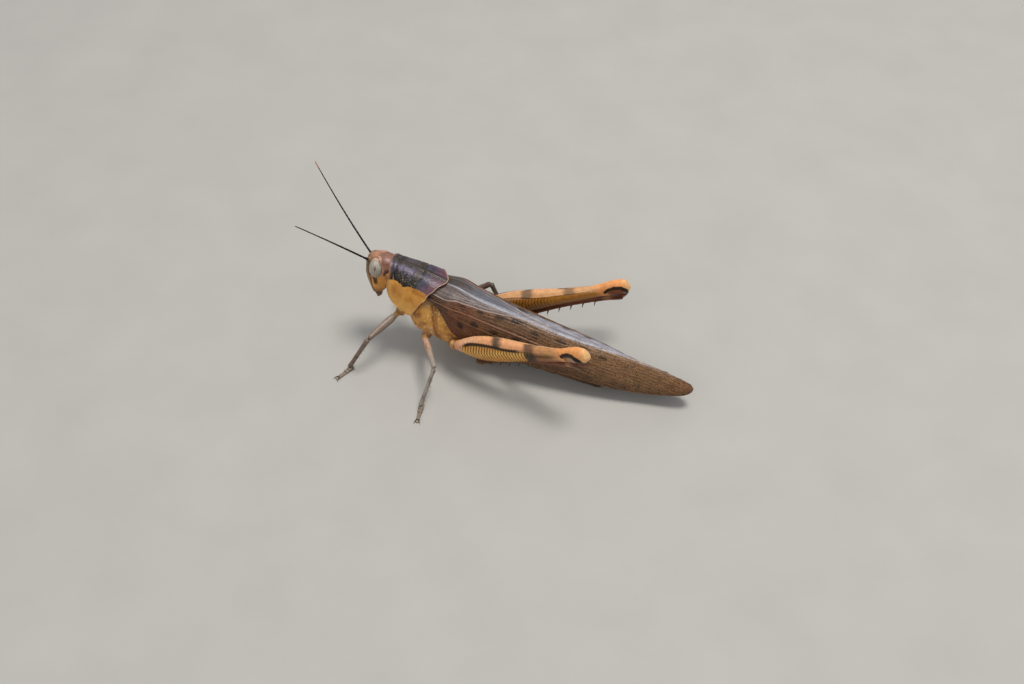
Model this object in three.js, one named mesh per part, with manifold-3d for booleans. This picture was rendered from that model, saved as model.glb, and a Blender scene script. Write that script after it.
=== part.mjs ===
// Large bird-locust grasshopper, adult female, standing with both hind legs folded.
// Millimetres, +Z up, head towards -X and the animal's left side towards -Y.
// Body pieces are built in a body frame: x runs along the back from the forehead and
// z is measured up from the back line. Legs are built between joints above the floor.
import * as THREE from 'three';
import { mergeVertices } from 'three/addons/utils/BufferGeometryUtils.js';
import Module from 'manifold-3d';

const wasm = await Module();
wasm.setup();

const gap = 0.3;
const floorLevel = 0;
const slope = THREE.MathUtils.degToRad(15);
const crown = { x: 0.55, z: 24.1 };
const sides = { left: -1, right: 1 };

// Rows of [x along the back, half width, top, widest height, bottom].
const trunkRows = [
  [6.5, 2.6, -1.4, -4.8, -7.9],
  [9, 3.05, -1.4, -6.5, -10.4],
  [13.2, 3.5, -1.5, -8.6, -12.8],
  [15.4, 4.7, -1.9, -9.7, -14.2],
  [19, 5.0, -2.2, -10.0, -14.4],
  [23, 5.0, -2.3, -10.2, -14.5],
  [26.5, 4.6, -2.4, -10.0, -14.1],
  [34, 4.1, -2.7, -8.8, -12.7],
  [44, 3.6, -3.0, -7.6, -11.3],
  [53, 2.9, -3.4, -7.2, -10.3],
  [56.5, 2.4, -4.0, -7.2, -10.05],
  [58.5, 2.0, -4.7, -7.2, -9.6],
  [61, 1.1, -6.1, -7.3, -8.5],
];
const trunk = { front: 6.5, waist: 13.2, hips: 26.6, valves: 56.8, end: 61, around: 20 };

// Rows of [x along the back, half width, top] of the pronotum's outside.
const pronotumRows = [
  [5.3, 3.75, -0.1],
  [8.5, 4.05, 0.2],
  [12.4, 4.65, 0.45],
  [16, 5.05, 0.5],
  [19.2, 5.2, 0.35],
];
const pronotum = { wall: 0.75, waist: -6.2, floor: -13.5, carina: 0.28 };
const pronotumOutline = {
  front: [[5.8, 1.2], [5.9, 0.3], [6.2, -0.7], [6.6, -2.2], [6.75, -4.3], [7.2, -6.0]],
  belly: [[8.0, -7.4], [9.5, -8.65], [11.1, -9.45], [12.4, -9.75], [13.3, -9.6]],
  hind: [[14.0, -8.4], [14.6, -6.2], [15.2, -4.2], [16.3, -2.5], [17.8, -1.0], [18.75, 0.1], [18.9, 1.2]],
};

// Rows of [x along the back, ridge, half width, depth below the ridge, roundness of the roof].
const wingRows = [
  [15.4, -0.9, 3.6, 2.7, 2.3],
  [19, -0.72, 4.2, 3.8, 2.2],
  [21, -0.6, 5.1, 5.1, 2.2],
  [23, -0.65, 5.5, 7.0, 2.05],
  [25.5, -0.7, 5.5, 8.1, 1.9],
  [31, -0.7, 5.3, 8.2, 1.75],
  [40, -0.5, 5.0, 7.3, 1.6],
  [50, 0.0, 4.6, 6.5, 1.45],
  [57, 0.6, 4.2, 6.4, 1.35],
  [62, 1.0, 3.6, 6.0, 1.3],
  [67, 1.1, 2.6, 4.9, 1.3],
  [71.5, 0.8, 1.55, 3.0, 1.35],
  [74, 0.25, 0.8, 1.35, 1.5],
  [75, -0.1, 0.45, 0.75, 1.7],
];
const wing = { thickness: 0.55, steps: 20, arcs: 6 };

// Rows of [height, front, back, half width] of the head capsule.
const headRows = [
  [-0.25, 3.7, 4.8, 0.4],
  [-0.6, 2.7, 5.3, 1.2],
  [-1.1, 1.7, 5.5, 1.6],
  [-1.7, 0.95, 5.6, 1.85],
  [-2.6, 0.65, 5.75, 2.05],
  [-3.8, 0.6, 5.95, 2.25],
  [-5.4, 0.85, 6.1, 2.6],
  [-6.8, 1.5, 6.15, 2.95],
  [-8.1, 2.35, 6.1, 2.9],
  [-9.4, 3.25, 5.9, 2.35],
];
const eye = { x: 3.05, y: 1.3, z: -3.3, along: 1.35, out: 1.4, sunk: 0.7, tall: 2.5, lean: -9, splay: 17 };

const mouth = {
  lip: { from: [3.0, 0, -9.6], to: [4.55, 0, -11.2], half: 1.5, deep: 0.4 },
  jaw: { from: [4.75, 1.15, -9.9], to: [5.35, 1.0, -11.3], half: 0.7, deep: 0.65 },
  feeler: { from: [5.8, 2.0, -9.7], bend: [6.0, 2.3, -10.4], to: [5.5, 2.2, -11.2], half: 0.27 },
};

const antenna = { socket: [0.35, 1.2, -2.5], base: 0.34, tip: 0.25 };
const antennaTips = { left: [-9.6, -11.7, 36.7], right: [-14.9, 9.7, 35.7] };
const antennaBow = { left: [-0.15, 0, 0.3], right: [-0.5, 0, -0.7] };

// Joints above the floor: root, hip, knee and ankle, then the tip of the toes on the floor.
const legs = {
  front_left: [[9.3, -2.2, 11.2], [7.9, -4.3, 10.3], [4.6, -12.2, 9.3], [0.5, -13.8, 1.35], [-1.4, -18.2, 0]],
  front_right: [[9.3, 2.2, 11.2], [7.9, 4.3, 10.3], [4.4, 11.9, 9.2], [1.0, 14.0, 1.35], [-0.8, 18.3, 0]],
  middle_left: [[15, -2.8, 7.0], [14.7, -5.6, 6.5], [20.3, -14.2, 7.7], [19, -19.1, 1.35], [19.8, -24.1, 0]],
  middle_right: [[15, 2.8, 7.0], [15.2, 5.5, 6.7], [23.9, 11.6, 9.9], [25.4, 14.3, 1.35], [28.2, 18.8, 0]],
  hind_left: [[21.2, -3, 6.0], [21.7, -6.6, 7.6], [52.1, -10.8, 18.2], [26.2, -3.0, 1.5], [32.0, -0.9, 0]],
  hind_right: [[21.2, 3, 6.0], [21.7, 6.6, 7.2], [53.4, 15.4, 14.4], [26.6, 8.4, 1.5], [33.0, 10.4, 0]],
};

// Half thicknesses in rows of [share of the length, up, down, out].
const femurRows = {
  small: [
    [0, 0.6, 0.6, 0.6],
    [0.15, 0.95, 0.95, 0.75],
    [0.5, 0.95, 0.9, 0.75],
    [0.9, 0.65, 0.65, 0.6],
    [1, 0.7, 0.75, 0.65],
  ],
  hind: [
    [0, 1.1, 1.2, 0.9],
    [0.07, 2.1, 2.4, 1.25],
    [0.16, 2.85, 3.15, 1.45],
    [0.26, 3.2, 3.3, 1.5],
    [0.38, 3.1, 3.0, 1.45],
    [0.55, 2.2, 2.2, 1.2],
    [0.72, 1.6, 1.6, 0.95],
    [0.86, 1.35, 1.25, 0.9],
    [0.93, 1.75, 1.15, 1.15],
    [1, 1.5, 0.6, 1.0],
  ],
};
const shinRows = {
  small: [[0, 0.6, 0.6, 0.55], [0.15, 0.5, 0.5, 0.42], [0.85, 0.45, 0.45, 0.4], [1, 0.5, 0.5, 0.5]],
  hind: [
    [0, 1.15, 0.9, 0.85],
    [0.05, 1.0, 0.95, 0.8],
    [0.12, 0.65, 0.75, 0.6],
    [0.5, 0.6, 0.65, 0.55],
    [0.92, 0.65, 0.65, 0.62],
    [1, 0.7, 0.7, 0.75],
  ],
};
const coxaRows = {
  small: [[0, 1.2, 1.2, 1.2], [0.6, 1.2, 1.2, 1.1], [1, 0.9, 0.9, 0.9]],
  hind: [[0, 1.5, 1.5, 1.5], [0.6, 1.5, 1.5, 1.4], [1, 1.0, 1.0, 1.0]],
};
const kneeDrop = { x: -0.4, z: -2.38 };
const shinBow = { left: 0.35, right: 1.2 };
const spines = { perRow: 9, first: 0.21, last: 0.946, thick: 0.3, long: 1.6, splay: 0.5, lean: 0.55 };
const foot = { height: 0.95, tip: 0.5, half: 0.55, claw: 1.2 };

const colours = {
  head: 0xb9834f,
  face: 0x7a5230,
  eye: 0xb3a68c,
  antenna: 0x1c1714,
  pronotum: 0xc98a3a,
  thorax: 0xb9772f,
  abdomen: 0xa87a45,
  wing: 0x5a3a2a,
  femur: 0xd9a066,
  shin: 0x8a6a52,
  foot: 0x6f6a5c,
};
const materials = Object.fromEntries(
  Object.entries(colours).map(([name, color]) => [
    name,
    new THREE.MeshStandardMaterial({ color, roughness: name === 'eye' ? 0.25 : 0.5, metalness: 0 }),
  ]),
);

// Values at x on smooth curves through rows of [x, value, value, ...].
function along(rows, x) {
  let i = 0;
  while (i < rows.length - 2 && x > rows[i + 1][0]) i += 1;
  const [a, b] = [rows[i], rows[i + 1]];
  const before = rows[Math.max(i - 1, 0)];
  const after = rows[Math.min(i + 2, rows.length - 1)];
  const span = b[0] - a[0];
  const s = THREE.MathUtils.clamp((x - a[0]) / span, 0, 1);
  const [s2, s3] = [s * s, s * s * s];
  return a.slice(1).map((start, k) => {
    const end = b[k + 1];
    const leave = ((end - before[k + 1]) / (b[0] - before[0])) * span;
    const arrive = ((after[k + 1] - start) / (after[0] - a[0])) * span;
    const level = start * (2 * s3 - 3 * s2 + 1) + end * (3 * s2 - 2 * s3);
    return level + leave * (s3 - 2 * s2 + s) + arrive * (s3 - s2);
  });
}

function power(value, exponent) {
  return Math.sign(value) * Math.abs(value) ** exponent;
}

function even(a, b, t) {
  return a + (b - a) * t;
}

// Closes an end like a quarter circle, where inside runs from 0 at the end to 1.
function rounded(inside) {
  return Math.sqrt(Math.max(0, 1 - (1 - Math.min(inside, 1)) ** 2));
}

function outward(geometry) {
  const at = geometry.attributes.position;
  const order = geometry.index.array;
  const [a, b, c] = [new THREE.Vector3(), new THREE.Vector3(), new THREE.Vector3()];
  let volume = 0;
  for (let i = 0; i < order.length; i += 3) {
    a.fromBufferAttribute(at, order[i]);
    b.fromBufferAttribute(at, order[i + 1]);
    c.fromBufferAttribute(at, order[i + 2]);
    volume += a.dot(b.cross(c));
  }
  if (volume > 0) return geometry;
  for (let i = 0; i < order.length; i += 3) {
    [order[i], order[i + 1]] = [order[i + 1], order[i]];
  }
  return geometry;
}

// Moves every vertex of a geometry and leaves it closed, with its faces pointing out.
function moved(geometry, place) {
  geometry.deleteAttribute('normal');
  geometry.deleteAttribute('uv');
  const at = geometry.attributes.position;
  for (let i = 0; i < at.count; i += 1) {
    at.setXYZ(i, ...place(at.getX(i), at.getY(i), at.getZ(i)));
  }
  return outward(mergeVertices(geometry, 1e-3));
}

// A drum about the X axis: place(t, angle, reach), where reach is 0 at the middle of each end.
function drum(steps, around, place) {
  const source = new THREE.CylinderGeometry(1, 1, 2, around, steps).rotateZ(Math.PI / 2);
  return moved(source, (x, y, z) => {
    const reach = Math.hypot(y, z) > 0.5 ? 1 : 0;
    return place((x + 1) / 2, Math.atan2(z, y), reach);
  });
}

// A ball about the X axis: place(t, angle), closing to a point at each end.
function ball(steps, around, place) {
  const source = new THREE.SphereGeometry(1, around, steps).rotateZ(Math.PI / 2);
  return moved(source, (x, y, z) => {
    const t = Math.acos(THREE.MathUtils.clamp(-x, -1, 1)) / Math.PI;
    return place(t, Math.atan2(z, y));
  });
}

// Shares from 0 to 1 that crowd together towards both ends.
function crowded(t) {
  return (1 - Math.cos(Math.PI * t)) / 2;
}

// A limb along +X from rows of [share, up, down, out] in half thicknesses.
function limb({ length, rows, cap, steps = 10, around = 8 }) {
  return ball(steps, around, (t, angle) => {
    const x = length * crowded(t);
    const [up, down, out] = along(rows, x / length);
    const close = rounded(Math.min(x / cap[0], (length - x) / cap[1]));
    const tall = Math.sin(angle) > 0 ? up : down;
    return [x, close * out * Math.cos(angle), close * tall * Math.sin(angle)];
  });
}

// Lays +X from one point towards another, keeping +Z as near to up as it can be.
function towards(from, to, up = [0, 0, 1]) {
  const start = new THREE.Vector3(...from);
  const forward = new THREE.Vector3(...to).sub(start).normalize();
  const side = new THREE.Vector3(...up).cross(forward).normalize();
  return new THREE.Matrix4()
    .makeBasis(forward, side, forward.clone().cross(side))
    .setPosition(start);
}

function aimed(from, to, spec) {
  const length = new THREE.Vector3(...from).distanceTo(new THREE.Vector3(...to));
  return limb({ ...spec, length }).applyMatrix4(towards(from, to, spec.up));
}

// The point a distance from a towards b.
function stepFrom(a, b, distance) {
  const [start, end] = [new THREE.Vector3(...a), new THREE.Vector3(...b)];
  return start.lerp(end, distance / start.distanceTo(end)).toArray();
}

function solid(geometry) {
  const vertProperties = new Float32Array(geometry.attributes.position.array);
  const triVerts = new Uint32Array(geometry.index.array);
  return new wasm.Manifold(new wasm.Mesh({ numProp: 3, vertProperties, triVerts }));
}

function geometryOf(body) {
  const { vertProperties, triVerts } = body.getMesh();
  const geometry = new THREE.BufferGeometry();
  geometry.setAttribute('position', new THREE.BufferAttribute(new Float32Array(vertProperties), 3));
  geometry.setIndex(new THREE.BufferAttribute(new Uint32Array(triVerts), 1));
  return geometry;
}

function joined(...geometries) {
  return geometryOf(geometries.map(solid).reduce((all, next) => all.add(next)));
}

const grasshopper = new THREE.Group();
const body = new THREE.Group();
body.position.set(crown.x, 0, crown.z);
body.rotation.y = slope;
grasshopper.add(body);
body.updateMatrix();

function add(parent, name, geometry, material) {
  const mesh = new THREE.Mesh(geometry, material);
  mesh.name = name;
  parent.add(mesh);
}

// Height of the floor in the body frame, below the back line.
function floorBelow(x) {
  return (floorLevel - crown.z + x * Math.sin(slope)) / Math.cos(slope);
}

// Trunk: prothorax, thorax, abdomen and the ovipositor's valves, flat where they meet the floor.
function trunkLength(from, to, steps, grow = 0) {
  return drum(steps, trunk.around, (t, angle, reach) => {
    const x = even(from, to, t);
    const [half, top, middle, bottom] = along(trunkRows, x);
    const up = Math.sin(angle) > 0;
    const tall = (up ? top - middle : middle - bottom) + grow;
    const z = middle + reach * tall * power(Math.sin(angle), up ? 0.95 : 0.72);
    const y = reach * (half + grow) * power(Math.cos(angle), up ? 1.35 : 0.66);
    return [x, y, Math.max(z, floorBelow(x) - grow)];
  });
}

add(body, 'prothorax', trunkLength(trunk.front, trunk.waist - gap, 5), materials.thorax);
add(body, 'thorax', trunkLength(trunk.waist, trunk.hips - gap, 8), materials.thorax);
add(body, 'abdomen', trunkLength(trunk.hips, trunk.valves - gap, 10), materials.abdomen);
add(body, 'ovipositor', trunkLength(trunk.valves, trunk.end, 4), materials.abdomen);

// Pronotum: a saddle with a low keel, open below, cut to its side outline.
function pronotumLoft(grow) {
  return drum(9, 24, (t, angle, reach) => {
    const x = even(4.8, 20, t);
    const [half, top] = along(pronotumRows, x);
    const up = Math.sin(angle) > 0;
    const tall = up ? top - pronotum.waist + grow : pronotum.waist - pronotum.floor;
    const keel = up && grow >= 0 ? pronotum.carina * Math.sin(angle) ** 60 : 0;
    const z = pronotum.waist + reach * (tall * power(Math.sin(angle), 0.85) + keel);
    return [x, reach * (half + grow) * power(Math.cos(angle), up ? 0.9 : 0.35), z];
  });
}

function sideOutline({ front, belly, hind }) {
  const outline = new THREE.Shape();
  const points = (rows) => rows.map(([x, z]) => new THREE.Vector2(x, z));
  outline.moveTo(...front[0]);
  outline.splineThru(points([...front.slice(1), ...belly]));
  outline.splineThru(points(hind));
  outline.lineTo(...front[0]);
  const across = new THREE.ExtrudeGeometry(outline, { depth: 16, bevelEnabled: false, curveSegments: 2 });
  return moved(across, (x, y, z) => [x, z - 8, y]);
}

const saddle = solid(pronotumLoft(0))
  .intersect(solid(sideOutline(pronotumOutline)))
  .subtract(solid(pronotumLoft(-pronotum.wall)));
add(body, 'pronotum', geometryOf(saddle), materials.pronotum);

// Forewings: two thin curved roofs that meet along the ridge.
function wingPoint(x, share, inset) {
  const [ridge, half, depth, round] = along(wingRows, x);
  const angle = even(0.02, Math.PI / 2, share);
  const y = half * Math.sin(angle) ** (2 / round);
  const fall = depth * (1 - Math.cos(angle) ** (2 / round));
  const out = new THREE.Vector2(Math.sin(angle) * depth, Math.cos(angle) * half).normalize();
  return [x, Math.max(gap / 2, y - inset * out.x), ridge - fall - inset * out.y];
}

function forewing(side) {
  const [first, last] = [wingRows[0][0], wingRows.at(-1)[0]];
  const sheet = new THREE.BoxGeometry(1, 1, 1, wing.steps, 1, wing.arcs);
  return moved(sheet, (x, y, z) => {
    const [px, py, pz] = wingPoint(even(first, last, x + 0.5), z + 0.5, (0.5 - y) * wing.thickness);
    return [px, side * py, pz];
  });
}

for (const [name, side] of Object.entries(sides)) {
  add(body, `forewing_${name}`, forewing(side), materials.wing);
}

// Head capsule with a shallow socket for each eye.
function headShell() {
  const [top, bottom] = [headRows[0][0], headRows.at(-1)[0]];
  const rows = headRows.map(([z, ...rest]) => [-z, ...rest]);
  return ball(12, 18, (t, angle) => {
    const z = even(top, bottom, crowded(t));
    const [front, back, half] = along(rows, -z);
    const close = rounded(Math.min((top - z) / 0.3, (z - bottom) / 1.1));
    const deep = ((back - front) / 2) * close;
    const x = even(front, back, 0.5) + deep * power(Math.sin(angle), 0.85);
    return [x, close * half * Math.cos(angle), z];
  });
}

function eyeBall(side, grow) {
  const shape = ball(8, 14, (t, angle) => {
    const ring = Math.sin(Math.PI * t);
    const out = -Math.cos(Math.PI * t);
    return [
      (eye.along + grow) * ring * Math.cos(angle),
      side * out * ((out > 0 ? eye.out : eye.sunk) + grow),
      (eye.tall + grow) * ring * Math.sin(angle),
    ];
  });
  shape.rotateX(side * THREE.MathUtils.degToRad(eye.splay));
  shape.rotateY(THREE.MathUtils.degToRad(eye.lean));
  shape.translate(eye.x, side * eye.y, eye.z);
  return outward(shape);
}

const sockets = Object.values(sides).map((side) => solid(eyeBall(side, gap)));
const skull = sockets.reduce((all, socket) => all.subtract(socket), solid(headShell()));
add(body, 'head', geometryOf(skull), materials.head);
for (const [name, side] of Object.entries(sides)) {
  add(body, `eye_${name}`, eyeBall(side, 0), materials.eye);
}

// Mouthparts below the face: an upper lip, two jaws and a feeler each side.
function flap({ from, to, half, deep }, side = 1) {
  const across = ([x, y, z]) => [x, side * y, z];
  const edge = deep * 0.8;
  const rows = [[0, deep, deep, half], [0.6, deep, deep, half * 0.95], [1, edge, edge, half * 0.75]];
  return aimed(across(from), across(to), { rows, cap: [0.3, 0.5], steps: 6, around: 8 });
}

add(body, 'labrum', flap(mouth.lip), materials.face);
for (const [name, side] of Object.entries(sides)) {
  const across = ([x, y, z]) => [x, side * y, z];
  const { half } = mouth.feeler;
  const [from, bend, to] = [mouth.feeler.from, mouth.feeler.bend, mouth.feeler.to].map(across);
  const rows = [[0, half, half, half], [1, half, half, half]];
  const thin = { rows, cap: [0.3, 0.3], steps: 4, around: 5, up: [1, 0, 0] };
  const palp = joined(aimed(from, stepFrom(bend, from, -0.3), thin), aimed(bend, to, thin));
  add(body, `mandible_${name}`, flap(mouth.jaw, side), materials.face);
  add(body, `palp_${name}`, palp, materials.face);
}

// Antennae, each a slightly bowed taper from its socket to its tip.
function antennaAlong(side, name) {
  const [x, y, z] = antenna.socket;
  const start = new THREE.Vector3(x, side * y, z).applyMatrix4(body.matrix);
  const end = new THREE.Vector3(...antennaTips[name]);
  const bow = new THREE.Vector3(...antennaBow[name]);
  const path = new THREE.QuadraticBezierCurve3(start, start.clone().lerp(end, 0.45).add(bow), end);
  return ball(14, 6, (t, angle) => {
    const share = crowded(t);
    const forward = path.getTangent(share);
    const across = new THREE.Vector3(0, 0, 1).cross(forward).normalize();
    const up = forward.clone().cross(across);
    const close = rounded(Math.min(share / 0.02, (1 - share) / 0.015));
    const radius = close * even(antenna.base, antenna.tip, Math.min(1, share * 3));
    return path
      .getPoint(share)
      .addScaledVector(across, radius * Math.cos(angle))
      .addScaledVector(up, radius * Math.sin(angle))
      .toArray();
  });
}

for (const [name, side] of Object.entries(sides)) {
  add(grasshopper, `antenna_${name}`, antennaAlong(side, name), materials.antenna);
}

// A tarsus of three pads, flat below, with two claws at its end.
function footShape(ankle, toes, size) {
  const length = Math.hypot(toes[0] - ankle[0], toes[1] - ankle[1]);
  const end = length - 0.8;
  const pads = ball(9, 6, (t, angle) => {
    const share = crowded(t);
    const x = even(-0.6, end, share);
    const close = rounded(Math.min((x + 0.6) / 0.5, (end - x) / 0.4));
    const notch = 1 - 0.22 * Math.max(0, Math.cos(share * Math.PI * 6)) ** 4;
    const tall = even(foot.height, foot.tip, share) * size;
    const z = tall * (0.5 + 0.5 * close * notch * power(Math.sin(angle), 0.8));
    return [x, close * notch * foot.half * size * Math.cos(angle), Math.max(0, z - 0.1)];
  });
  const claw = { rows: [[0, 0.27, 0.27, 0.27], [1, 0.1, 0.1, 0.1]], cap: [0.1, 0.1], steps: 3, around: 4 };
  const claws = Object.values(sides).map((side) =>
    aimed([length - foot.claw, side * 0.1, 0.35], [length, side * 0.75, 0.12], claw),
  );
  const [heel, tip] = [ankle, toes].map(([x, y]) => [x, y, floorLevel]);
  return joined(pads, ...claws).applyMatrix4(towards(heel, tip));
}

// A hind shin bowed up against its femur, with two rows of spines along its outer edge.
function spinedShin(from, to, spec) {
  const length = new THREE.Vector3(...from).distanceTo(new THREE.Vector3(...to));
  const parts = [limb({ ...spec, length })];
  for (let i = 0; i < spines.perRow; i += 1) {
    const x = length * even(spines.first, spines.last, i / (spines.perRow - 1));
    for (const side of Object.values(sides)) {
      const spine = new THREE.ConeGeometry(spines.thick, spines.long, 3).translate(0, spines.long / 2, 0);
      const pointing = new THREE.Vector3(spines.lean, side * spines.splay, -1).normalize();
      const turn = new THREE.Quaternion().setFromUnitVectors(new THREE.Vector3(0, 1, 0), pointing);
      parts.push(moved(spine.applyQuaternion(turn).translate(x, side * 0.2, -0.15), (...at) => at));
    }
  }
  const bow = (x) => spec.bow * Math.sin(Math.PI * THREE.MathUtils.clamp(x / length, 0, 1));
  const bowed = moved(joined(...parts), (x, y, z) => [x, y, z + bow(x)]);
  return bowed.applyMatrix4(towards(from, to));
}

const trunkRoom = solid(trunkLength(trunk.front, trunk.valves, 22, gap)).transform(body.matrix.elements);
for (const [name, [root, hip, knee, ankle, toes]] of Object.entries(legs)) {
  const hind = name.startsWith('hind');
  const kind = hind ? 'hind' : 'small';

  const coxa = solid(aimed(root, hip, { rows: coxaRows[kind], cap: [1.0, 0.9], steps: 6, around: 9 }));
  add(grasshopper, `coxa_${name}`, geometryOf(coxa.subtract(trunkRoom)), materials.thorax);

  const femur = { rows: femurRows[kind], cap: hind ? [0.8, 1.4] : [0.5, 0.6] };
  const femurEnd = hind ? stepFrom(knee, hip, -1.1) : knee;
  const femurSteps = hind ? { steps: 15, around: 12 } : { steps: 8, around: 8 };
  const femurShape = aimed(stepFrom(hip, knee, gap + 0.1), femurEnd, { ...femur, ...femurSteps });
  add(grasshopper, `femur_${name}`, femurShape, materials.femur);

  const bow = shinBow[name.split('_')[1]];
  const shin = { rows: shinRows[kind], cap: [0.6, 0.4], steps: hind ? 12 : 7, around: 8, bow };
  const below = [knee[0] + kneeDrop.x, knee[1], knee[2] + kneeDrop.z];
  const start = hind ? below : stepFrom(knee, ankle, 0.7 + gap);
  const shinShape = (hind ? spinedShin : aimed)(start, ankle, shin);
  add(grasshopper, `tibia_${name}`, shinShape, materials.shin);
  add(grasshopper, `tarsus_${name}`, footShape(ankle, toes, hind ? 1.1 : 1), materials.foot);
}

// Stands centred over the origin, on the floor.
grasshopper.updateMatrixWorld(true);
const middle = new THREE.Box3().setFromObject(grasshopper, true).getCenter(new THREE.Vector3());
grasshopper.position.set(-middle.x, -middle.y, floorLevel);
grasshopper.updateMatrixWorld(true);

export default grasshopper;
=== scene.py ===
import math

import bmesh
import bpy
from mathutils import Matrix, Vector, noise


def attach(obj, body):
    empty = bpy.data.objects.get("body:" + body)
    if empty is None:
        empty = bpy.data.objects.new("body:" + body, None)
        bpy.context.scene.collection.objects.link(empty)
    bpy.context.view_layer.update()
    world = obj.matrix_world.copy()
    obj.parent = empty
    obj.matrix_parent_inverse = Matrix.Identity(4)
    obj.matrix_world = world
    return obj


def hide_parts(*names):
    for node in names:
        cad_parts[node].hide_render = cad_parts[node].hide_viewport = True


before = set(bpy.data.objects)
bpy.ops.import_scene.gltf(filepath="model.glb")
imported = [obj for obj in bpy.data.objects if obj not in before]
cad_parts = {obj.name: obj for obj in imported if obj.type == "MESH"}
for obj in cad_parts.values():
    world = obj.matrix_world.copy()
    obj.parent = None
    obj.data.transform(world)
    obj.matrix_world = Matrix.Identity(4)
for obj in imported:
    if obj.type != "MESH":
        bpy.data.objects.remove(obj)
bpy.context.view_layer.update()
sides = {"left": -1, "right": 1}

# Shapes are worked out in millimetres and brought to metres as they are placed.
# The body frame runs u along the back from the forehead, y across and w up from the back line.
standing = {"slope": 15.0, "foreheadX": 0.55, "foreheadZ": 24.1, "shift": (-29.034, 2.511)}

slope = math.radians(standing["slope"])
shiftX, shiftY = standing["shift"]
legFrame = Matrix.Translation((shiftX, shiftY, 0))
bodyFrame = (
    Matrix.Translation((standing["foreheadX"] + shiftX, shiftY, standing["foreheadZ"]))
    @ Matrix.Rotation(slope, 4, "Y")
)


# ---- small sums ----
def clamp(x, low=0.0, high=1.0):
    return min(max(x, low), high)


def fade(start, end, x):  # 0 before start, 1 past end, smooth between
    x = clamp((x - start) / (end - start))
    return x * x * (3 - 2 * x)


def hump(x, centre, width):
    return math.exp(-(((x - centre) / width) ** 2))


def power(value, exponent):
    return math.copysign(abs(value) ** exponent, value)


def even(a, b, t):
    return a + (b - a) * t


def crowded(t):
    return (1 - math.cos(math.pi * t)) / 2


def rounded(inside):  # closes an end like a quarter circle
    return math.sqrt(max(0.0, 1 - (1 - min(inside, 1)) ** 2))


def along(rows, x):  # values at x on smooth curves through rows of x, value, value...
    i = 0
    while i < len(rows) - 2 and x > rows[i + 1][0]:
        i += 1
    a, b = rows[i], rows[i + 1]
    before, after = rows[max(i - 1, 0)], rows[min(i + 2, len(rows) - 1)]
    span = b[0] - a[0]
    s = clamp((x - a[0]) / span)
    s2, s3 = s * s, s * s * s
    found = []
    for k in range(1, len(a)):
        leave = (b[k] - before[k]) / (b[0] - before[0]) * span
        arrive = (after[k] - a[k]) / (after[0] - a[0]) * span
        level = a[k] * (2 * s3 - 3 * s2 + 1) + b[k] * (3 * s2 - 2 * s3)
        found.append(level + leave * (s3 - 2 * s2 + s) + arrive * (s3 - s2))
    return found


def drift(p, size, seed=0.0):  # smooth noise from -1 to 1
    return noise.noise(Vector((p[0] / size + seed, p[1] / size - seed, p[2] / size + seed * 0.37)))


def tone(code):  # a screen colour as a linear one
    found = []
    for shift in (16, 8, 0):
        c = (code >> shift & 255) / 255
        found.append(c / 12.92 if c <= 0.04045 else ((c + 0.055) / 1.055) ** 2.4)
    return Vector(found)


def tones(**codes):
    return {name: tone(code) for name, code in codes.items()}


def overlay(colour, c, *layers):  # each layer is a tone's name and how much of it covers
    for name, share in layers:
        colour = colour.lerp(c[name], share)
    return colour


# ---- modelling ----
def blank():
    bm = bmesh.new()
    bm.verts.layers.float_vector.new("where")
    bm.verts.layers.float_color.new("paint")
    bm.verts.layers.float_color.new("marks")
    bm.loops.layers.uv.new("lie")
    return bm


def addForm(bm, cells, place, finish, matrix=bodyFrame, lie=None, level=None, weld=0.002):
    # A grid bent by place(s, t), then raised and painted by finish(s, t, point, normal).
    where = bm.verts.layers.float_vector["where"]
    paint = bm.verts.layers.float_color["paint"]
    marks = bm.verts.layers.float_color["marks"]
    lieLayer = bm.loops.layers.uv["lie"]
    made = bmesh.ops.create_grid(bm, x_segments=cells[0], y_segments=cells[1], size=0.5)["verts"]
    for vert in made:
        vert[where] = (vert.co.x + 0.5, vert.co.y + 0.5, 0)
    for face in {face for vert in made for face in vert.link_faces}:
        for loop in face.loops:
            s, t, _ = loop.vert[where]
            loop[lieLayer].uv = lie(s, t) if lie else (s, t)
    for vert in made:
        vert.co = place(vert[where].x, vert[where].y)
    bmesh.ops.remove_doubles(bm, verts=made, dist=weld)
    made = [vert for vert in made if vert.is_valid]
    faces = list({face for vert in made for face in vert.link_faces})
    for face in faces:
        face.normal_update()
        face.smooth = True
    middle = sum((vert.co for vert in made), Vector()) / len(made)
    outward = 0.0
    for face in faces:
        reach = face.calc_center_median() - middle
        if level is not None:  # an open roof is judged from a line below it
            reach = face.calc_center_median() - Vector((middle.x, 0, level))
            reach.x = 0
        outward += face.normal.dot(reach) * face.calc_area()
    if outward < 0:
        bmesh.ops.reverse_faces(bm, faces=faces)
    for vert in made:
        vert.normal_update()
    for vert in made:
        height, colour, mark = finish(vert[where].x, vert[where].y, vert.co, vert.normal)
        vert.co += vert.normal * height
        vert[paint] = (*colour, 1)
        vert[marks] = (*mark, 1)
    bmesh.ops.transform(bm, matrix=matrix, verts=made)


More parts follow.
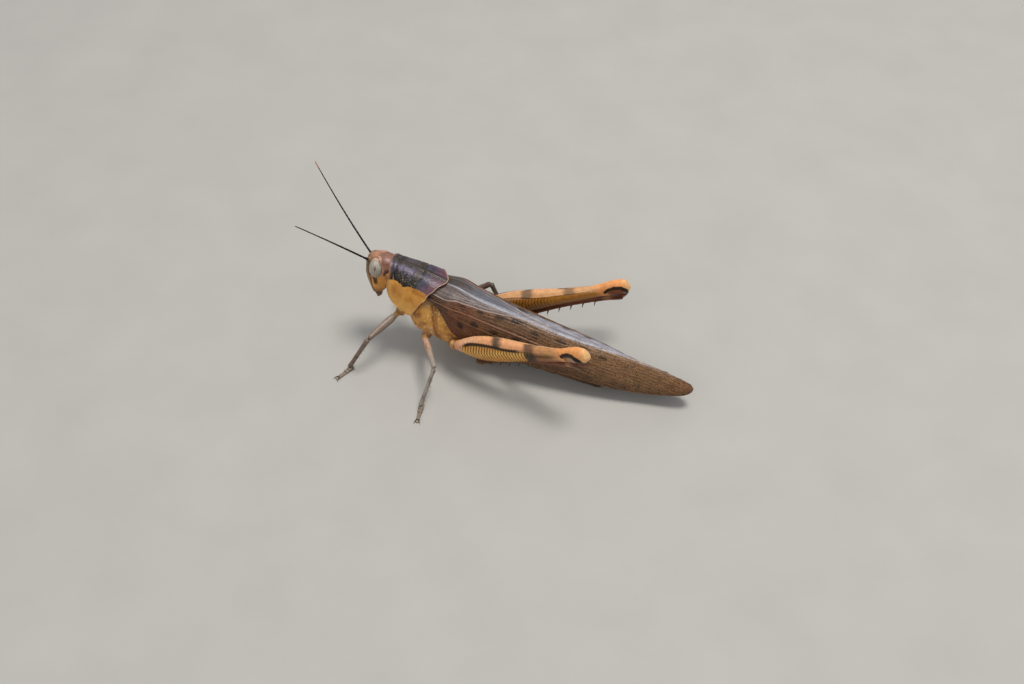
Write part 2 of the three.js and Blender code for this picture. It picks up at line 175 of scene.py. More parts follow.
def makePiece(name, bm, material, nodes=(), wall=0.0):
    bm.verts.layers.float_vector.remove(bm.verts.layers.float_vector["where"])
    for vert in bm.verts:
        vert.co.z = max(vert.co.z, 0.0)
    bmesh.ops.scale(bm, vec=(0.001, 0.001, 0.001), verts=bm.verts)
    mesh = bpy.data.meshes.new(name)
    bm.to_mesh(mesh)
    bm.free()
    mesh.materials.append(material)
    piece = bpy.data.objects.new(name, mesh)
    bpy.context.scene.collection.objects.link(piece)
    if wall:
        solid = piece.modifiers.new("wall", "SOLIDIFY")
        solid.thickness = wall / 1000
        solid.offset = -1
    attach(piece, "root")
    if nodes:
        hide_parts(*nodes)
    return piece


def aim(start, end, up=(0, 0, 1)):  # +X from start towards end, +Z as near to up as it can be
    start, end = Vector(start), Vector(end)
    forward = (end - start).normalized()
    side = Vector(up).cross(forward).normalized()
    top = forward.cross(side)
    turn = Matrix((
        (forward.x, side.x, top.x, start.x),
        (forward.y, side.y, top.y, start.y),
        (forward.z, side.z, top.z, start.z),
        (0, 0, 0, 1),
    ))
    return turn, (end - start).length


def sized(size, shares):  # limb rows whose three sizes are shares of one
    return [[row[0], *(size * share for share in row[1:])] for row in shares]


def stepFrom(a, b, distance):
    a, b = Vector(a), Vector(b)
    return a.lerp(b, distance / (b - a).length)


def limbPlace(length, rows, cap, flat=(1.0, 1.0), bow=0.0):  # flat squares the sides above and below
    def place(s, t):
        x = length * crowded(s)
        up, down, out = along(rows, x / length)
        close = rounded(min(x / cap[0], (length - x) / cap[1]))
        angle = 2 * math.pi * t
        over = math.sin(angle) > 0
        y = out * power(math.cos(angle), flat[0] if over else flat[1])
        lift = bow * math.sin(math.pi * clamp(x / length))
        return Vector((x, close * y, close * (up if over else down) * math.sin(angle) + lift))
    return place


def spike(bm, root, point, width, colours, bend=0.0, cells=(7, 8), up=(0, 0, 1), matrix=legFrame):
    # A curved thorn from its root to its point, from one colour to the other.
    turn, length = aim(root, point, up)

    def place(s, t):
        reach = width * (1 - s) ** 0.85 * (1 + 0.5 * hump(s, 0, 0.12))
        angle = 2 * math.pi * t
        sag = bend * math.sin(math.pi * s)
        return Vector((s * length, reach * math.cos(angle), reach * math.sin(angle) + sag))

    def finish(s, t, p, n):
        return 0, colours[0].lerp(colours[1], fade(0.35, 0.75, s)), (0, 0.5, 0)

    addForm(bm, cells, place, finish, matrix @ turn)


# ---- materials ----
def put(tree, kind, settings=None, inputs=None):
    node = tree.nodes.new("ShaderNode" + kind)
    for key, value in (settings or {}).items():
        setattr(node, key, value)
    for key, value in (inputs or {}).items():
        if isinstance(value, bpy.types.NodeSocket):
            tree.links.new(value, node.inputs[key])
        else:
            node.inputs[key].default_value = value
    return node


def sums(tree, operation, a, b, c=0.0):
    return put(tree, "Math", {"operation": operation}, {0: a, 1: b, 2: c}).outputs[0]


def noiseAt(tree, at, scale, detail, rough=0.5):
    inputs = {"Vector": at, "Scale": scale, "Detail": detail, "Roughness": rough}
    return put(tree, "TexNoise", None, inputs).outputs["Fac"]


def scaled(tree, colour, factor):
    return put(tree, "VectorMath", {"operation": "SCALE"}, {0: colour, "Scale": factor}).outputs[0]


def ranged(tree, value, low, high, toLow=0.0, toHigh=1.0):
    settings = {"interpolation_type": "SMOOTHSTEP"}
    inputs = {"Value": value, "From Min": low, "From Max": high, "To Min": toLow, "To Max": toHigh}
    return put(tree, "MapRange", settings, inputs).outputs["Result"]


def mixed(tree, share, a, b, blend="MIX"):
    return put(tree, "Mix", {"data_type": "RGBA", "blend_type": blend}, {0: share, 6: a, 7: b}).outputs[2]


def newGroup(name, inputs, outputs):
    tree = bpy.data.node_groups.new(name, "ShaderNodeTree")
    for label, kind in inputs.items():
        tree.interface.new_socket(label, in_out="INPUT", socket_type="NodeSocket" + kind)
    for label, kind in outputs.items():
        tree.interface.new_socket(label, in_out="OUTPUT", socket_type="NodeSocket" + kind)
    return tree, tree.nodes.new("NodeGroupInput").outputs, tree.nodes.new("NodeGroupOutput").inputs


def chitinGroup():  # mottled, finely pitted shell over a painted colour
    inputs = {"Paint": "Color", "Grain": "Float", "Mottle": "Float", "Pits": "Float", "Freckles": "Float"}
    tree, given, out = newGroup("chitin", inputs, {"Colour": "Color", "Patch": "Float", "Height": "Float"})
    at = put(tree, "TexCoord").outputs["Object"]
    broad = noiseAt(tree, at, given["Grain"], 5.0, 0.62)
    fine = noiseAt(tree, at, sums(tree, "MULTIPLY", given["Grain"], 4.5), 3.0, 0.6)
    pitScale = sums(tree, "MULTIPLY", given["Grain"], 3.2)
    pit = put(tree, "TexVoronoi", {"feature": "F1"}, {"Vector": at, "Scale": pitScale}).outputs["Distance"]
    pitMask = sums(tree, "MULTIPLY", ranged(tree, pit, 0.12, 0.42, 1.0, 0.0), given["Pits"])
    both = sums(tree, "ADD", sums(tree, "MULTIPLY", broad, 0.6), sums(tree, "MULTIPLY", fine, 0.4))
    mottle = sums(tree, "MULTIPLY", given["Mottle"], 2.6)
    swing = sums(tree, "MULTIPLY_ADD", sums(tree, "SUBTRACT", both, 0.5), mottle, 1.0)
    shade = sums(tree, "SUBTRACT", swing, sums(tree, "MULTIPLY", pitMask, 0.3))
    coloured = scaled(tree, given["Paint"], shade)
    freckle = noiseAt(tree, at, sums(tree, "MULTIPLY", given["Grain"], 2.1), 2.0)
    freckleMask = sums(tree, "MULTIPLY", ranged(tree, freckle, 0.6, 0.7), given["Freckles"])
    tree.links.new(mixed(tree, freckleMask, coloured, scaled(tree, coloured, 0.42)), out["Colour"])
    tree.links.new(broad, out["Patch"])
    bumps = sums(tree, "SUBTRACT", sums(tree, "MULTIPLY", fine, 0.55), pitMask)
    tree.links.new(bumps, out["Height"])
    return tree


def netGroup():  # the fine net of cross veins on a forewing
    inputs = {"Paint": "Color", "Lie": "Vector", "Strength": "Float", "Height": "Float"}
    tree, given, out = newGroup("wingNet", inputs, {"Colour": "Color", "Height": "Float"})
    stretched = put(tree, "Mapping", None, {"Vector": given["Lie"], "Scale": (2.4, 3.0, 1.0)}).outputs[0]
    mesh = {"Vector": stretched, "Scale": 1.0, "Randomness": 0.85}
    edges = {"voronoi_dimensions": "2D", "feature": "DISTANCE_TO_EDGE"}
    cells = put(tree, "TexVoronoi", edges, mesh).outputs["Distance"]
    line = sums(tree, "MULTIPLY", ranged(tree, cells, 0.03, 0.13, 1.0, 0.0), given["Strength"])
    cellTone = put(tree, "TexVoronoi", {"voronoi_dimensions": "2D", "feature": "F1"}, mesh).outputs["Color"]
    cellPart = put(tree, "SeparateColor", None, {0: cellTone}).outputs[0]
    dark = scaled(tree, given["Paint"], sums(tree, "MULTIPLY_ADD", cellPart, 0.95, 0.38))
    cellColour = mixed(tree, given["Strength"], given["Paint"], dark)
    golden = put(
        tree, "VectorMath", {"operation": "MULTIPLY"}, {0: given["Paint"], 1: (2.3, 2.0, 1.6)}
    ).outputs[0]
    tree.links.new(mixed(tree, line, cellColour, golden), out["Colour"])
    tree.links.new(sums(tree, "ADD", sums(tree, "MULTIPLY", line, 0.9), given["Height"]), out["Height"])
    return tree


groups = {"chitin": chitinGroup(), "net": netGroup()}

traits = ("grain", "mottle", "pits", "freckles", "rough", "coat", "bump")
finishes = {name: dict(zip(traits, row)) for name, row in {
    "head": (900, 0.28, 0.25, 0.25, 0.42, 0.1, 0.05),
    "face": (1100, 0.3, 0.2, 0.3, 0.4, 0.2, 0.05),
    "eye": (700, 0.12, 0.0, 0.0, 0.22, 0.9, 0.012),
    "antenna": (1800, 0.3, 0.0, 0.0, 0.5, 0.0, 0.03),
    "pronotum": (850, 0.34, 0.32, 0.22, 0.47, 0.08, 0.042),
    "thorax": (900, 0.3, 0.35, 0.25, 0.45, 0.1, 0.06),
    "abdomen": (1000, 0.32, 0.2, 0.4, 0.42, 0.2, 0.05),
    "wing": (700, 0.22, 0.0, 0.15, 0.42, 0.06, 0.09),
    "femur": (1000, 0.24, 0.12, 0.2, 0.44, 0.08, 0.04),
    "shin": (1300, 0.34, 0.1, 0.4, 0.45, 0.1, 0.04),
    "foot": (1500, 0.36, 0.1, 0.4, 0.48, 0.05, 0.04),
}.items()}
finishes["eye"]["facets"] = 19000
finishes["wing"]["net"] = True


def shellMaterial(name, values):
    material = bpy.data.materials.new(name)
    material.use_nodes = True
    tree = material.node_tree
    tree.nodes.clear()
    paint = put(tree, "Attribute", {"attribute_name": "paint"}).outputs["Color"]
    marks = put(tree, "Attribute", {"attribute_name": "marks"}).outputs["Color"]
    net, gloss, _ = put(tree, "SeparateColor", None, {0: marks}).outputs
    sockets = {trait.title(): values[trait] for trait in traits[:4]} | {"Paint": paint}
    shell = put(tree, "Group", {"node_tree": groups["chitin"]}, sockets).outputs
    colour, height = shell["Colour"], shell["Height"]
    if "net" in values:
        lie = put(tree, "UVMap", {"uv_map": "lie"}).outputs[0]
        sockets = {"Paint": colour, "Lie": lie, "Strength": net, "Height": height}
        netted = put(tree, "Group", {"node_tree": groups["net"]}, sockets).outputs
        colour, height = netted["Colour"], netted["Height"]
    if "facets" in values:
        at = put(tree, "TexCoord").outputs["Object"]
        mesh = {"Vector": at, "Scale": values["facets"], "Randomness": 0.25}
        facet = put(tree, "TexVoronoi", {"feature": "F1"}, mesh)
        height = sums(tree, "SUBTRACT", height, facet.outputs["Distance"])
    sockets = {"Strength": 0.6, "Distance": values["bump"] / 1000, "Height": height}
    bump = put(tree, "Bump", None, sockets).outputs[0]
    patch = sums(tree, "MULTIPLY_ADD", sums(tree, "SUBTRACT", shell["Patch"], 0.5), 0.35, values["rough"])
    rough = sums(tree, "SUBTRACT", patch, sums(tree, "MULTIPLY", gloss, 0.22))
    shader = put(tree, "BsdfPrincipled", None, {"Base Color": colour, "Roughness": rough, "Normal": bump})
    shader.inputs["Specular IOR Level"].default_value = 0.25
    shader.inputs["Coat Weight"].default_value = values["coat"]
    shader.inputs["Coat Roughness"].default_value = 0.18
    put(tree, "OutputMaterial", None, {"Surface": shader.outputs[0]})
    return material


materials = {name: shellMaterial(name + "Shell", values) for name, values in finishes.items()}
print("materials made")

# ---- head ----
head = {
    # height, front, widest, back, half width
    "rows": [
        [-0.25, 3.4, 4.8, 7.0, 1.2], [-0.6, 2.6, 4.6, 7.2, 1.6], [-1.1, 1.7, 4.4, 7.3, 1.85],
        [-1.7, 0.95, 4.2, 7.4, 2.0], [-2.6, 0.65, 4.0, 7.5, 2.15], [-3.8, 0.6, 3.8, 7.5, 2.4],
        [-5.4, 0.85, 3.6, 7.5, 2.7], [-6.8, 1.5, 3.9, 7.3, 2.95], [-8.1, 2.35, 4.3, 6.6, 2.95],
        [-9.4, 3.2, 4.6, 6.1, 2.6], [-9.9, 3.5, 4.7, 6.0, 2.3],
    ],
    "cells": (190, 240), "socket": (0.35, 1.2, -2.5),
    "simpleEye": 0.2,
    "simpleEyes": [
        ((1.35, -0.72, -1.62), 0xd8b98c), ((1.35, 0.72, -1.62), 0xd8b98c), ((0.32, 0, -3.55), 0xcfae80)
    ],
}
headTones = tones(
    crown=0x7c5748, vertex=0xa8795a, behind=0xa0705a, streak=0xa97866, dark=0x431d0b, cheek=0xc4873f,
    low=0x855628, face=0x86684c, faceLow=0x7d5a35, strip=0xcf9f62, rim=0xc08f78, groove=0x25140a,
    ridge=0x83603f,
)
eye = {"at": (3.25, 1.5, -3.45), "along": 1.68, "out": 1.4, "sunk": 0.7, "tall": 2.6, "lean": -9, "splay": 9}
eyeTones = tones(high=0xb9b1a1, middle=0xa09787, low=0xa38c78, rim=0xc39a84, spot=0x4a4034, stripe=0x6f6656)


def eyeFrame(side):
    x, y, z = eye["at"]
    lean = Matrix.Rotation(math.radians(eye["lean"]), 4, "Y")
    splay = Matrix.Rotation(side * math.radians(eye["splay"]), 4, "X")
    return Matrix.Translation((x, side * y, z)) @ lean @ splay


eyeInverse = {side: eyeFrame(side).inverted() for side in (-1, 1)}


def eyeReach(p, side):  # 1 on the eye's own surface
    q = eyeInverse[side] @ p
    return math.sqrt((q.x / eye["along"]) ** 2 + (q.y / eye["out"]) ** 2 + (q.z / eye["tall"]) ** 2)


def headPlace(s, t):
    rows = [[-row[0], *row[1:]] for row in head["rows"]]
    top, bottom = -0.25, -9.9
    z = even(top, bottom, crowded(s))
    front, widest, back, half = along(rows, -z)
    close = rounded(min((top - z) / 0.6, (z - bottom) / 1.1))
    angle = 2 * math.pi * t
    behind = math.sin(angle) > 0
    deep = back - widest if behind else widest - front
    x = widest + deep * close * power(math.sin(angle), 0.8 if behind else 0.88)
    return Vector((x, close * half * power(math.cos(angle), 0.7 if behind else 1.0), z))


def headFinish(s, t, p, n):
    side = -1 if p.y < 0 else 1
    aside, z = abs(p.y), p.z
    facing = fade(0.25, 0.7, -n.x)  # the front of the face
    height = 0.0
    ridgeHalf = 0.42 - 0.035 * z
    ridge = (
        (1 - fade(ridgeHalf - 0.12, ridgeHalf + 0.1, aside)) * facing * fade(-1.2, -2.0, z)
        * fade(-8.7, -7.8, z)
    )
    trough = hump(aside, 0, 0.24) * fade(-2.2, -3.2, z) * fade(-8.2, -7.0, z)
    height += 0.17 * ridge - 0.09 * trough * facing
    keelAt = 1.12 - 0.15 * (z + 2.6)
    keel = hump(aside, keelAt, 0.15) * facing * fade(-3.2, -4.0, z) * fade(-9.0, -8.4, z)
    height += 0.12 * keel
    _, sy, sz = head["socket"]
    d = math.hypot(aside - sy, z - sz) if n.x < 0 else 9
    socket = hump(d, 0, 0.34)
    collar = hump(d, 0.5, 0.13)
    height += 0.3 * fade(0.85, 0.4, d) + 0.08 * collar - 0.12 * socket
    reach = eyeReach(p, side)
    rim = hump(reach, 1.1, 0.045)
    outerGroove = hump(reach, 1.2, 0.04)
    height += 0.1 * rim - 0.05 * outerGroove - 0.7 * fade(1.07, 0.9, reach) * fade(-0.7, -1.3, z)
    clypeus = hump(z, -8.75, 0.1) * facing
    height -= 0.12 * clypeus
    cheekLine = (
        hump(p.x - 2.7, 0.33 * (-z - 5.6), 0.13) * fade(-5.5, -6.0, z) * fade(0.7, 0.3, facing)
        * (0 if p.x > 5 else 1)
    )
    height -= 0.1 * cheekLine
    brow = hump(z, -1.25 - 0.1 * (p.x - 2), 0.14) * fade(3.6, 2.8, p.x) * fade(0.4, 0.8, aside)
    height += 0.08 * brow
    height += 0.02 * drift(p, 0.6) + 0.012 * drift(p, 0.22, 3)

    c = headTones
    colour = c["crown"].lerp(c["vertex"], fade(3.4, 2.2, p.x))
    colour = overlay(
        colour, c,
        ("behind", fade(-0.7, -1.8, z)),
        ("streak", 0.5 * fade(0.05, 0.4, drift((p.x * 2.2, p.y, z * 0.4), 0.5, 23)) * fade(4.0, 4.6, p.x)),
    )
    wave = 0.3 * drift(p, 0.9, 5)
    darkBehind = fade(-2.1, -2.8, z + wave) * fade(5.0, 5.35, p.x)
    colour = colour.lerp(c["dark"], darkBehind * 0.85)
    cheek = fade(-3.8, -4.5, z + 0.7 * wave - 0.1 * (p.x - 5.0))
    colour = overlay(
        colour, c,
        ("cheek", cheek),
        ("low", fade(-7.0, -8.8, z) * 0.7),
    )
    under = math.hypot((p.x - 3.85 + 0.3 * (z + 6.2)) / 0.75, (z + 5.95) / 1.0)
    colour = colour.lerp(c["dark"], fade(1.25, 0.6, under + wave) * 0.95)
    slant = (p.x - 3.1) - 0.5 * (-z - 5.6)
    strip = hump(slant, 0, 0.24) * fade(-5.4, -5.8, z) * fade(-8.4, -7.0, z)
    colour = colour.lerp(c["strip"], strip * 0.85)
    front = fade(0.3, 0.75, -n.x + 0.25 * fade(2.4, 1.4, p.x))
    faceColour = c["face"].lerp(c["faceLow"], fade(-4.5, -7.5, z))
    colour = colour.lerp(faceColour, front * fade(-0.8, -2.2, z))
    colour = colour.lerp(c["ridge"], (keel + ridge * 0.5) * 0.8)
    darkLine = hump(slant, -0.52, 0.22) * fade(-4.6, -5.4, z) * fade(-9.0, -8.2, z)
    colour = colour.lerp(c["groove"], darkLine * 0.85)
    frontOfEye = hump(reach, 1.14, 0.08) * fade(2.9, 1.9, p.x) * fade(-1.4, -3.0, z)
    colour = colour.lerp(c["groove"], frontOfEye * 0.75)
    paleRim = hump(reach, 1.12, 0.09) * fade(2.6, 3.4, p.x) * fade(-5.2, -3.6, z)
    colour = overlay(
        colour, c,
        ("rim", paleRim * 0.8),
        ("groove", clamp(socket * 0.85 + clypeus * 0.5 + cheekLine * 0.3)),
    )
    streak = fade(0.25, 0.6, drift((p.x * 0.5, p.y, p.z * 2.4), 0.5, 9))
    colour = colour.lerp(c["dark"], streak * 0.22 * fade(-0.6, -1.6, z))
    return height, colour, (0, 0.2 + 0.2 * front, 0)


def eyePlace(side):
    def place(s, t):
        ring, out = math.sin(math.pi * s), -math.cos(math.pi * s)
        angle = 2 * math.pi * t
        reach = eye["out"] if out > 0 else eye["sunk"]
        return Vector(
            (eye["along"] * ring * math.cos(angle), side * out * reach, eye["tall"] * ring * math.sin(angle))
        )
    return place


def eyeFinish(side):
    def finish(s, t, p, n):
        c = eyeTones
        high = p.z / eye["tall"]
        across = p.x / eye["along"]
        # Lighter towards the top: a painted highlight over the eye's own grey-beige
        colour = c["low"].lerp(c["middle"], fade(-0.75, -0.1, high)).lerp(
            c["high"], fade(0.0, 0.6, high + 0.15 * across)
        )
        band = 0.5 + 0.5 * math.sin(p.x * 15 + 0.3 * math.sin(p.z * 2))
        colour = colour.lerp(c["stripe"], 0.3 * band)
        spot = math.hypot((across - 0.05) / 0.16, (high - 0.2) / 0.26) + 0.35 * drift(p, 0.3, 2)
        colour = colour.lerp(c["spot"], 0.8 * fade(1.15, 0.45, spot))
        outward = max(0.0, side * p.y) / eye["out"]
        colour = overlay(
            colour, c,
            ("spot", 0.35 * hump(outward, 0.42, 0.16)),
            ("rim", 0.75 * fade(0.52, 0.3, outward)),
        )
        colour = colour * (1 + 0.12 * drift(p, 0.35, 8))
        return 0, colour, (0, 0.3, 0)
    return finish


def evenFinish(colour, gloss):
    return lambda s, t, p, n: (0, colour, (0, gloss, 0))


headMesh = blank()
addForm(headMesh, head["cells"], headPlace, headFinish)
reach = head["simpleEye"]
dot = limbPlace(2.2 * reach, [[0, reach, reach, reach], [1, reach, reach, reach]], (0.22, 0.22))
for at, code in head["simpleEyes"]:  # one beside each antenna, one on the ridge
    addForm(headMesh, (10, 12), dot, evenFinish(tone(code), 0.6), bodyFrame @ Matrix.Translation(at))
makePiece("head_shell", headMesh, materials["head"], ["head"])
for name, side in sides.items():
    eyeMesh = blank()
    addForm(eyeMesh, (60, 90), eyePlace(side), eyeFinish(side), bodyFrame @ eyeFrame(side))
    makePiece("eye_ball_" + name, eyeMesh, materials["eye"], ["eye_" + name])
print("head and eyes made")

# ---- mouthparts ----
mouth = {
    "lip": {"from": (2.9, 0, -9.0), "to": (4.5, 0, -11.3), "half": 1.65, "deep": 0.45},
    "jaw": {"from": (4.6, 1.25, -9.2), "to": (5.3, 1.05, -11.35), "half": 0.85, "deep": 0.75},
    "feeler": [
        (5.4, 1.7, -9.3), (5.6, 1.8, -9.9), (5.65, 1.9, -10.5), (5.4, 1.85, -10.95), (5.05, 1.75, -11.25)
    ],
}
mouthTones = tones(lip=0x75563a, jaw=0x66482e, edge=0x24140a, feeler=0x6f5034, joint=0x3f2a1a)


def flapFinish(base):
    def finish(s, t, p, n):
        c = mouthTones
        height = 0.04 * drift(p, 0.3) - 0.08 * hump(s, 0.42, 0.05)
        colour = c[base].lerp(c["edge"], fade(0.75, 1.0, s) * 0.7 + 0.3 * hump(s, 0.42, 0.04))
        return height, colour * (1 + 0.25 * drift(p, 0.4, 4)), (0, 0.3, 0)
    return finish


def flapForm(bm, spec, side, base):
    turn, length = aim(*[(x, side * y, z) for x, y, z in (spec["from"], spec["to"])])
    deep, half = spec["deep"], spec["half"]
    rows = [
        [0, deep, deep, half * 0.9], [0.35, deep, deep, half], [0.7, deep, deep, half * 0.95],
        [1, deep * 0.7, deep * 0.7, half * 0.7],
    ]
    addForm(bm, (36, 44), limbPlace(length, rows, (0.3, 0.5), (0.7, 0.7)), flapFinish(base), bodyFrame @ turn)


def feelerFinish(s, t, p, n):
    return 0, mouthTones["feeler"].lerp(mouthTones["joint"], hump(s, 0, 0.15)), (0, 0.2, 0)


lipMesh = blank()
flapForm(lipMesh, mouth["lip"], 1, "lip")
makePiece("upper_lip", lipMesh, materials["face"], ["labrum"])
for name, side in sides.items():
    jawMesh = blank()
    flapForm(jawMesh, mouth["jaw"], side, "jaw")
    makePiece("jaw_" + name, jawMesh, materials["face"], ["mandible_" + name])
    feelerMesh = blank()
    points = [(x, side * y, z) for x, y, z in mouth["feeler"]]
    for i, (a, b) in enumerate(zip(points, points[1:])):
        turn, length = aim(a, b, (1, 0, 0))
        half = 0.22 - 0.015 * i
        rows = sized(half, [[0, 0.75, 0.75, 0.75], [0.7, 1, 1, 1], [1, 0.8, 0.8, 0.8]])
        place = limbPlace(length + 0.1, rows, (0.15, 0.15))
        addForm(feelerMesh, (14, 14), place, feelerFinish, bodyFrame @ turn)
    makePiece("mouth_feeler_" + name, feelerMesh, materials["face"], ["palp_" + name])

# ---- antennae ----
antenna = {
    "tips": {"left": (-9.6, -11.7, 36.7), "right": (-14.9, 9.7, 35.7)},
    "bow": {"left": (-0.15, 0, 0.3), "right": (-0.5, 0, -0.7)},
    "segments": 25, "cells": (260, 16), "base": 0.21, "tip": 0.11, "sunk": 0.9,
}
antennaTones = tones(base=0x2a1b12, black=0x0b0908, joint=0x1a1310, pale=0xa9784f)


def antennaForm(bm, name, side):
    x, y, z = head["socket"]
    start = bodyFrame @ Vector((x + 0.1, side * y, z))
    end = legFrame @ Vector(antenna["tips"][name])
    start -= (end - start).normalized() * antenna["sunk"]
    mid = start.lerp(end, 0.45) + Vector(antenna["bow"][name])
    paleFrom = 0.9 if name == "right" else 0.985

    def place(share, t):
        point = start * (1 - share) ** 2 + mid * (2 * share * (1 - share)) + end * share ** 2
        forward = ((mid - start) * (1 - share) + (end - mid) * share).normalized()
        across = Vector((0, 0, 1)).cross(forward).normalized()
        up = forward.cross(across)
        if share < 0.04:
            radius = 0.31 * (1 - 0.2 * hump(share, 0.04, 0.006))
        elif share < 0.062:
            radius = 0.26 * (1 - 0.15 * hump(share, 0.062, 0.005))
        else:
            step = (share - 0.062) / 0.938 * antenna["segments"] % 1
            radius = even(antenna["base"], antenna["tip"], fade(0.1, 1.0, share))
            radius *= 1 - 0.2 * hump(min(step, 1 - step), 0, 0.09)
        radius *= rounded(min(share / 0.008, (1 - share) / 0.012))
        angle = 2 * math.pi * t
        return point + across * (radius * math.cos(angle)) + up * (radius * math.sin(angle))

    def finish(s, t, p, n):
        c = antennaTones
        colour = c["base"].lerp(c["black"], fade(0.03, 0.09, s))
        if s > 0.062:
            step = (s - 0.062) / 0.938 * antenna["segments"] % 1
            colour = colour.lerp(c["joint"], 0.7 * hump(min(step, 1 - step), 0, 0.1))
        colour = colour.lerp(c["pale"], 0.8 * fade(paleFrom, min(1, paleFrom + 0.07), s))
        return 0, colour, (0, 0.1, 0)

    addForm(bm, antenna["cells"], place, finish, Matrix())


for name, side in sides.items():
    antennaMesh = blank()
    antennaForm(antennaMesh, name, side)
    makePiece("feeler_" + name, antennaMesh, materials["antenna"], ["antenna_" + name])
print("mouthparts and antennae made")

# ---- pronotum ----
pronotum = {
    # along, half width, top
    "rows": [
        [4.8, 3.7, -0.3], [6.0, 3.85, -0.2], [8.5, 4.15, -0.05], [12.4, 4.8, 0.15], [16, 5.2, 0.15],
        [19.2, 5.3, 0.0],
    ],
    # depth below the back line, along
    "front": [
        [-1.2, 5.0], [-0.1, 5.2], [0.7, 5.9], [2.2, 6.6], [4.3, 6.75], [6.0, 7.2], [7.4, 8.0],
        [8.65, 9.5], [9.45, 11.1], [9.75, 12.4],
    ],
    "hind": [
        [-1.2, 18.6], [-0.1, 18.5], [1.0, 17.9], [2.5, 16.4], [4.2, 15.2], [6.2, 14.6], [8.4, 14.0],
        [9.6, 13.3], [9.75, 12.4],
    ],
    "waist": -6.2, "down": 7.3, "lowest": -9.75, "carina": 0.3, "wall": 0.3, "cells": (150, 250),
    # grooves across the saddle: depth below the back line, along
    "grooves": [
        ([[-0.4, 6.9], [0.6, 7.35], [2.2, 7.8], [4.0, 8.1], [6.0, 8.4]], 0.13, 0.13),
        ([[-0.4, 8.3], [0.8, 9.2], [1.7, 9.75], [2.6, 9.9], [4.5, 10.3], [6.5, 10.9]], 0.15, 0.13),
        ([[-0.4, 11.0], [1.0, 11.3], [2.4, 11.0], [3.4, 11.4], [6.0, 11.9]], 0.13, 0.12),
        ([[-0.4, 13.2], [1.5, 13.1], [3.0, 12.8], [6.0, 12.9]], 0.2, 0.16),
    ],
    # edge between the dark back and the amber lobe: along, height
    "edge": [
        [6.4, -2.9], [7.3, -2.7], [8.1, -2.4], [9.4, -2.5], [10.2, -2.75], [11.2, -2.2], [12.8, -1.86],
        [13.9, -1.74], [15.2, -1.81], [16.4, -2.0], [18, -2.3],
    ],
}
pronotumTones = tones(
    collar=0x7a5048, dark=0x17110d, purple=0x61566a, slate=0x3c3b48, hind=0x5e414b, olive=0x3b2f26,
    amber=0xd49643, deep=0xbb742c, gold=0xe0aa5a, rim=0x96705a, paleRim=0xd9ae85, speck=0xeec893,
    shade=0x7c4818, grit=0x7d7a6c,
)


def pronotumHind(y, z):
    return along(pronotum["hind"], -z)[0] - 1.25 * fade(0.1, 3.2, abs(y)) * fade(-3.6, -1.2, z)


def pronotumPlace(s, t):
    side = -1 if t < 0.5 else 1
    share = abs(2 * t - 1)
    low = math.asin(((pronotum["waist"] - pronotum["lowest"]) / pronotum["down"]) ** (1 / 0.85))
    angle = even(math.pi / 2, -low, share ** 0.92)
    x = even(6, 18, s)
    for _ in range(3):
        half, top = along(pronotum["rows"], x)
        tall = top - pronotum["waist"] if angle > 0 else pronotum["down"]
        z = pronotum["waist"] + tall * power(math.sin(angle), 0.74)
        z = max(z, pronotum["lowest"])
        y = half * power(math.cos(angle), 0.8 if angle > 0 else 0.35)
        x = even(along(pronotum["front"], -z)[0], pronotumHind(y, z), s)
    return Vector((x, side * abs(y), z))


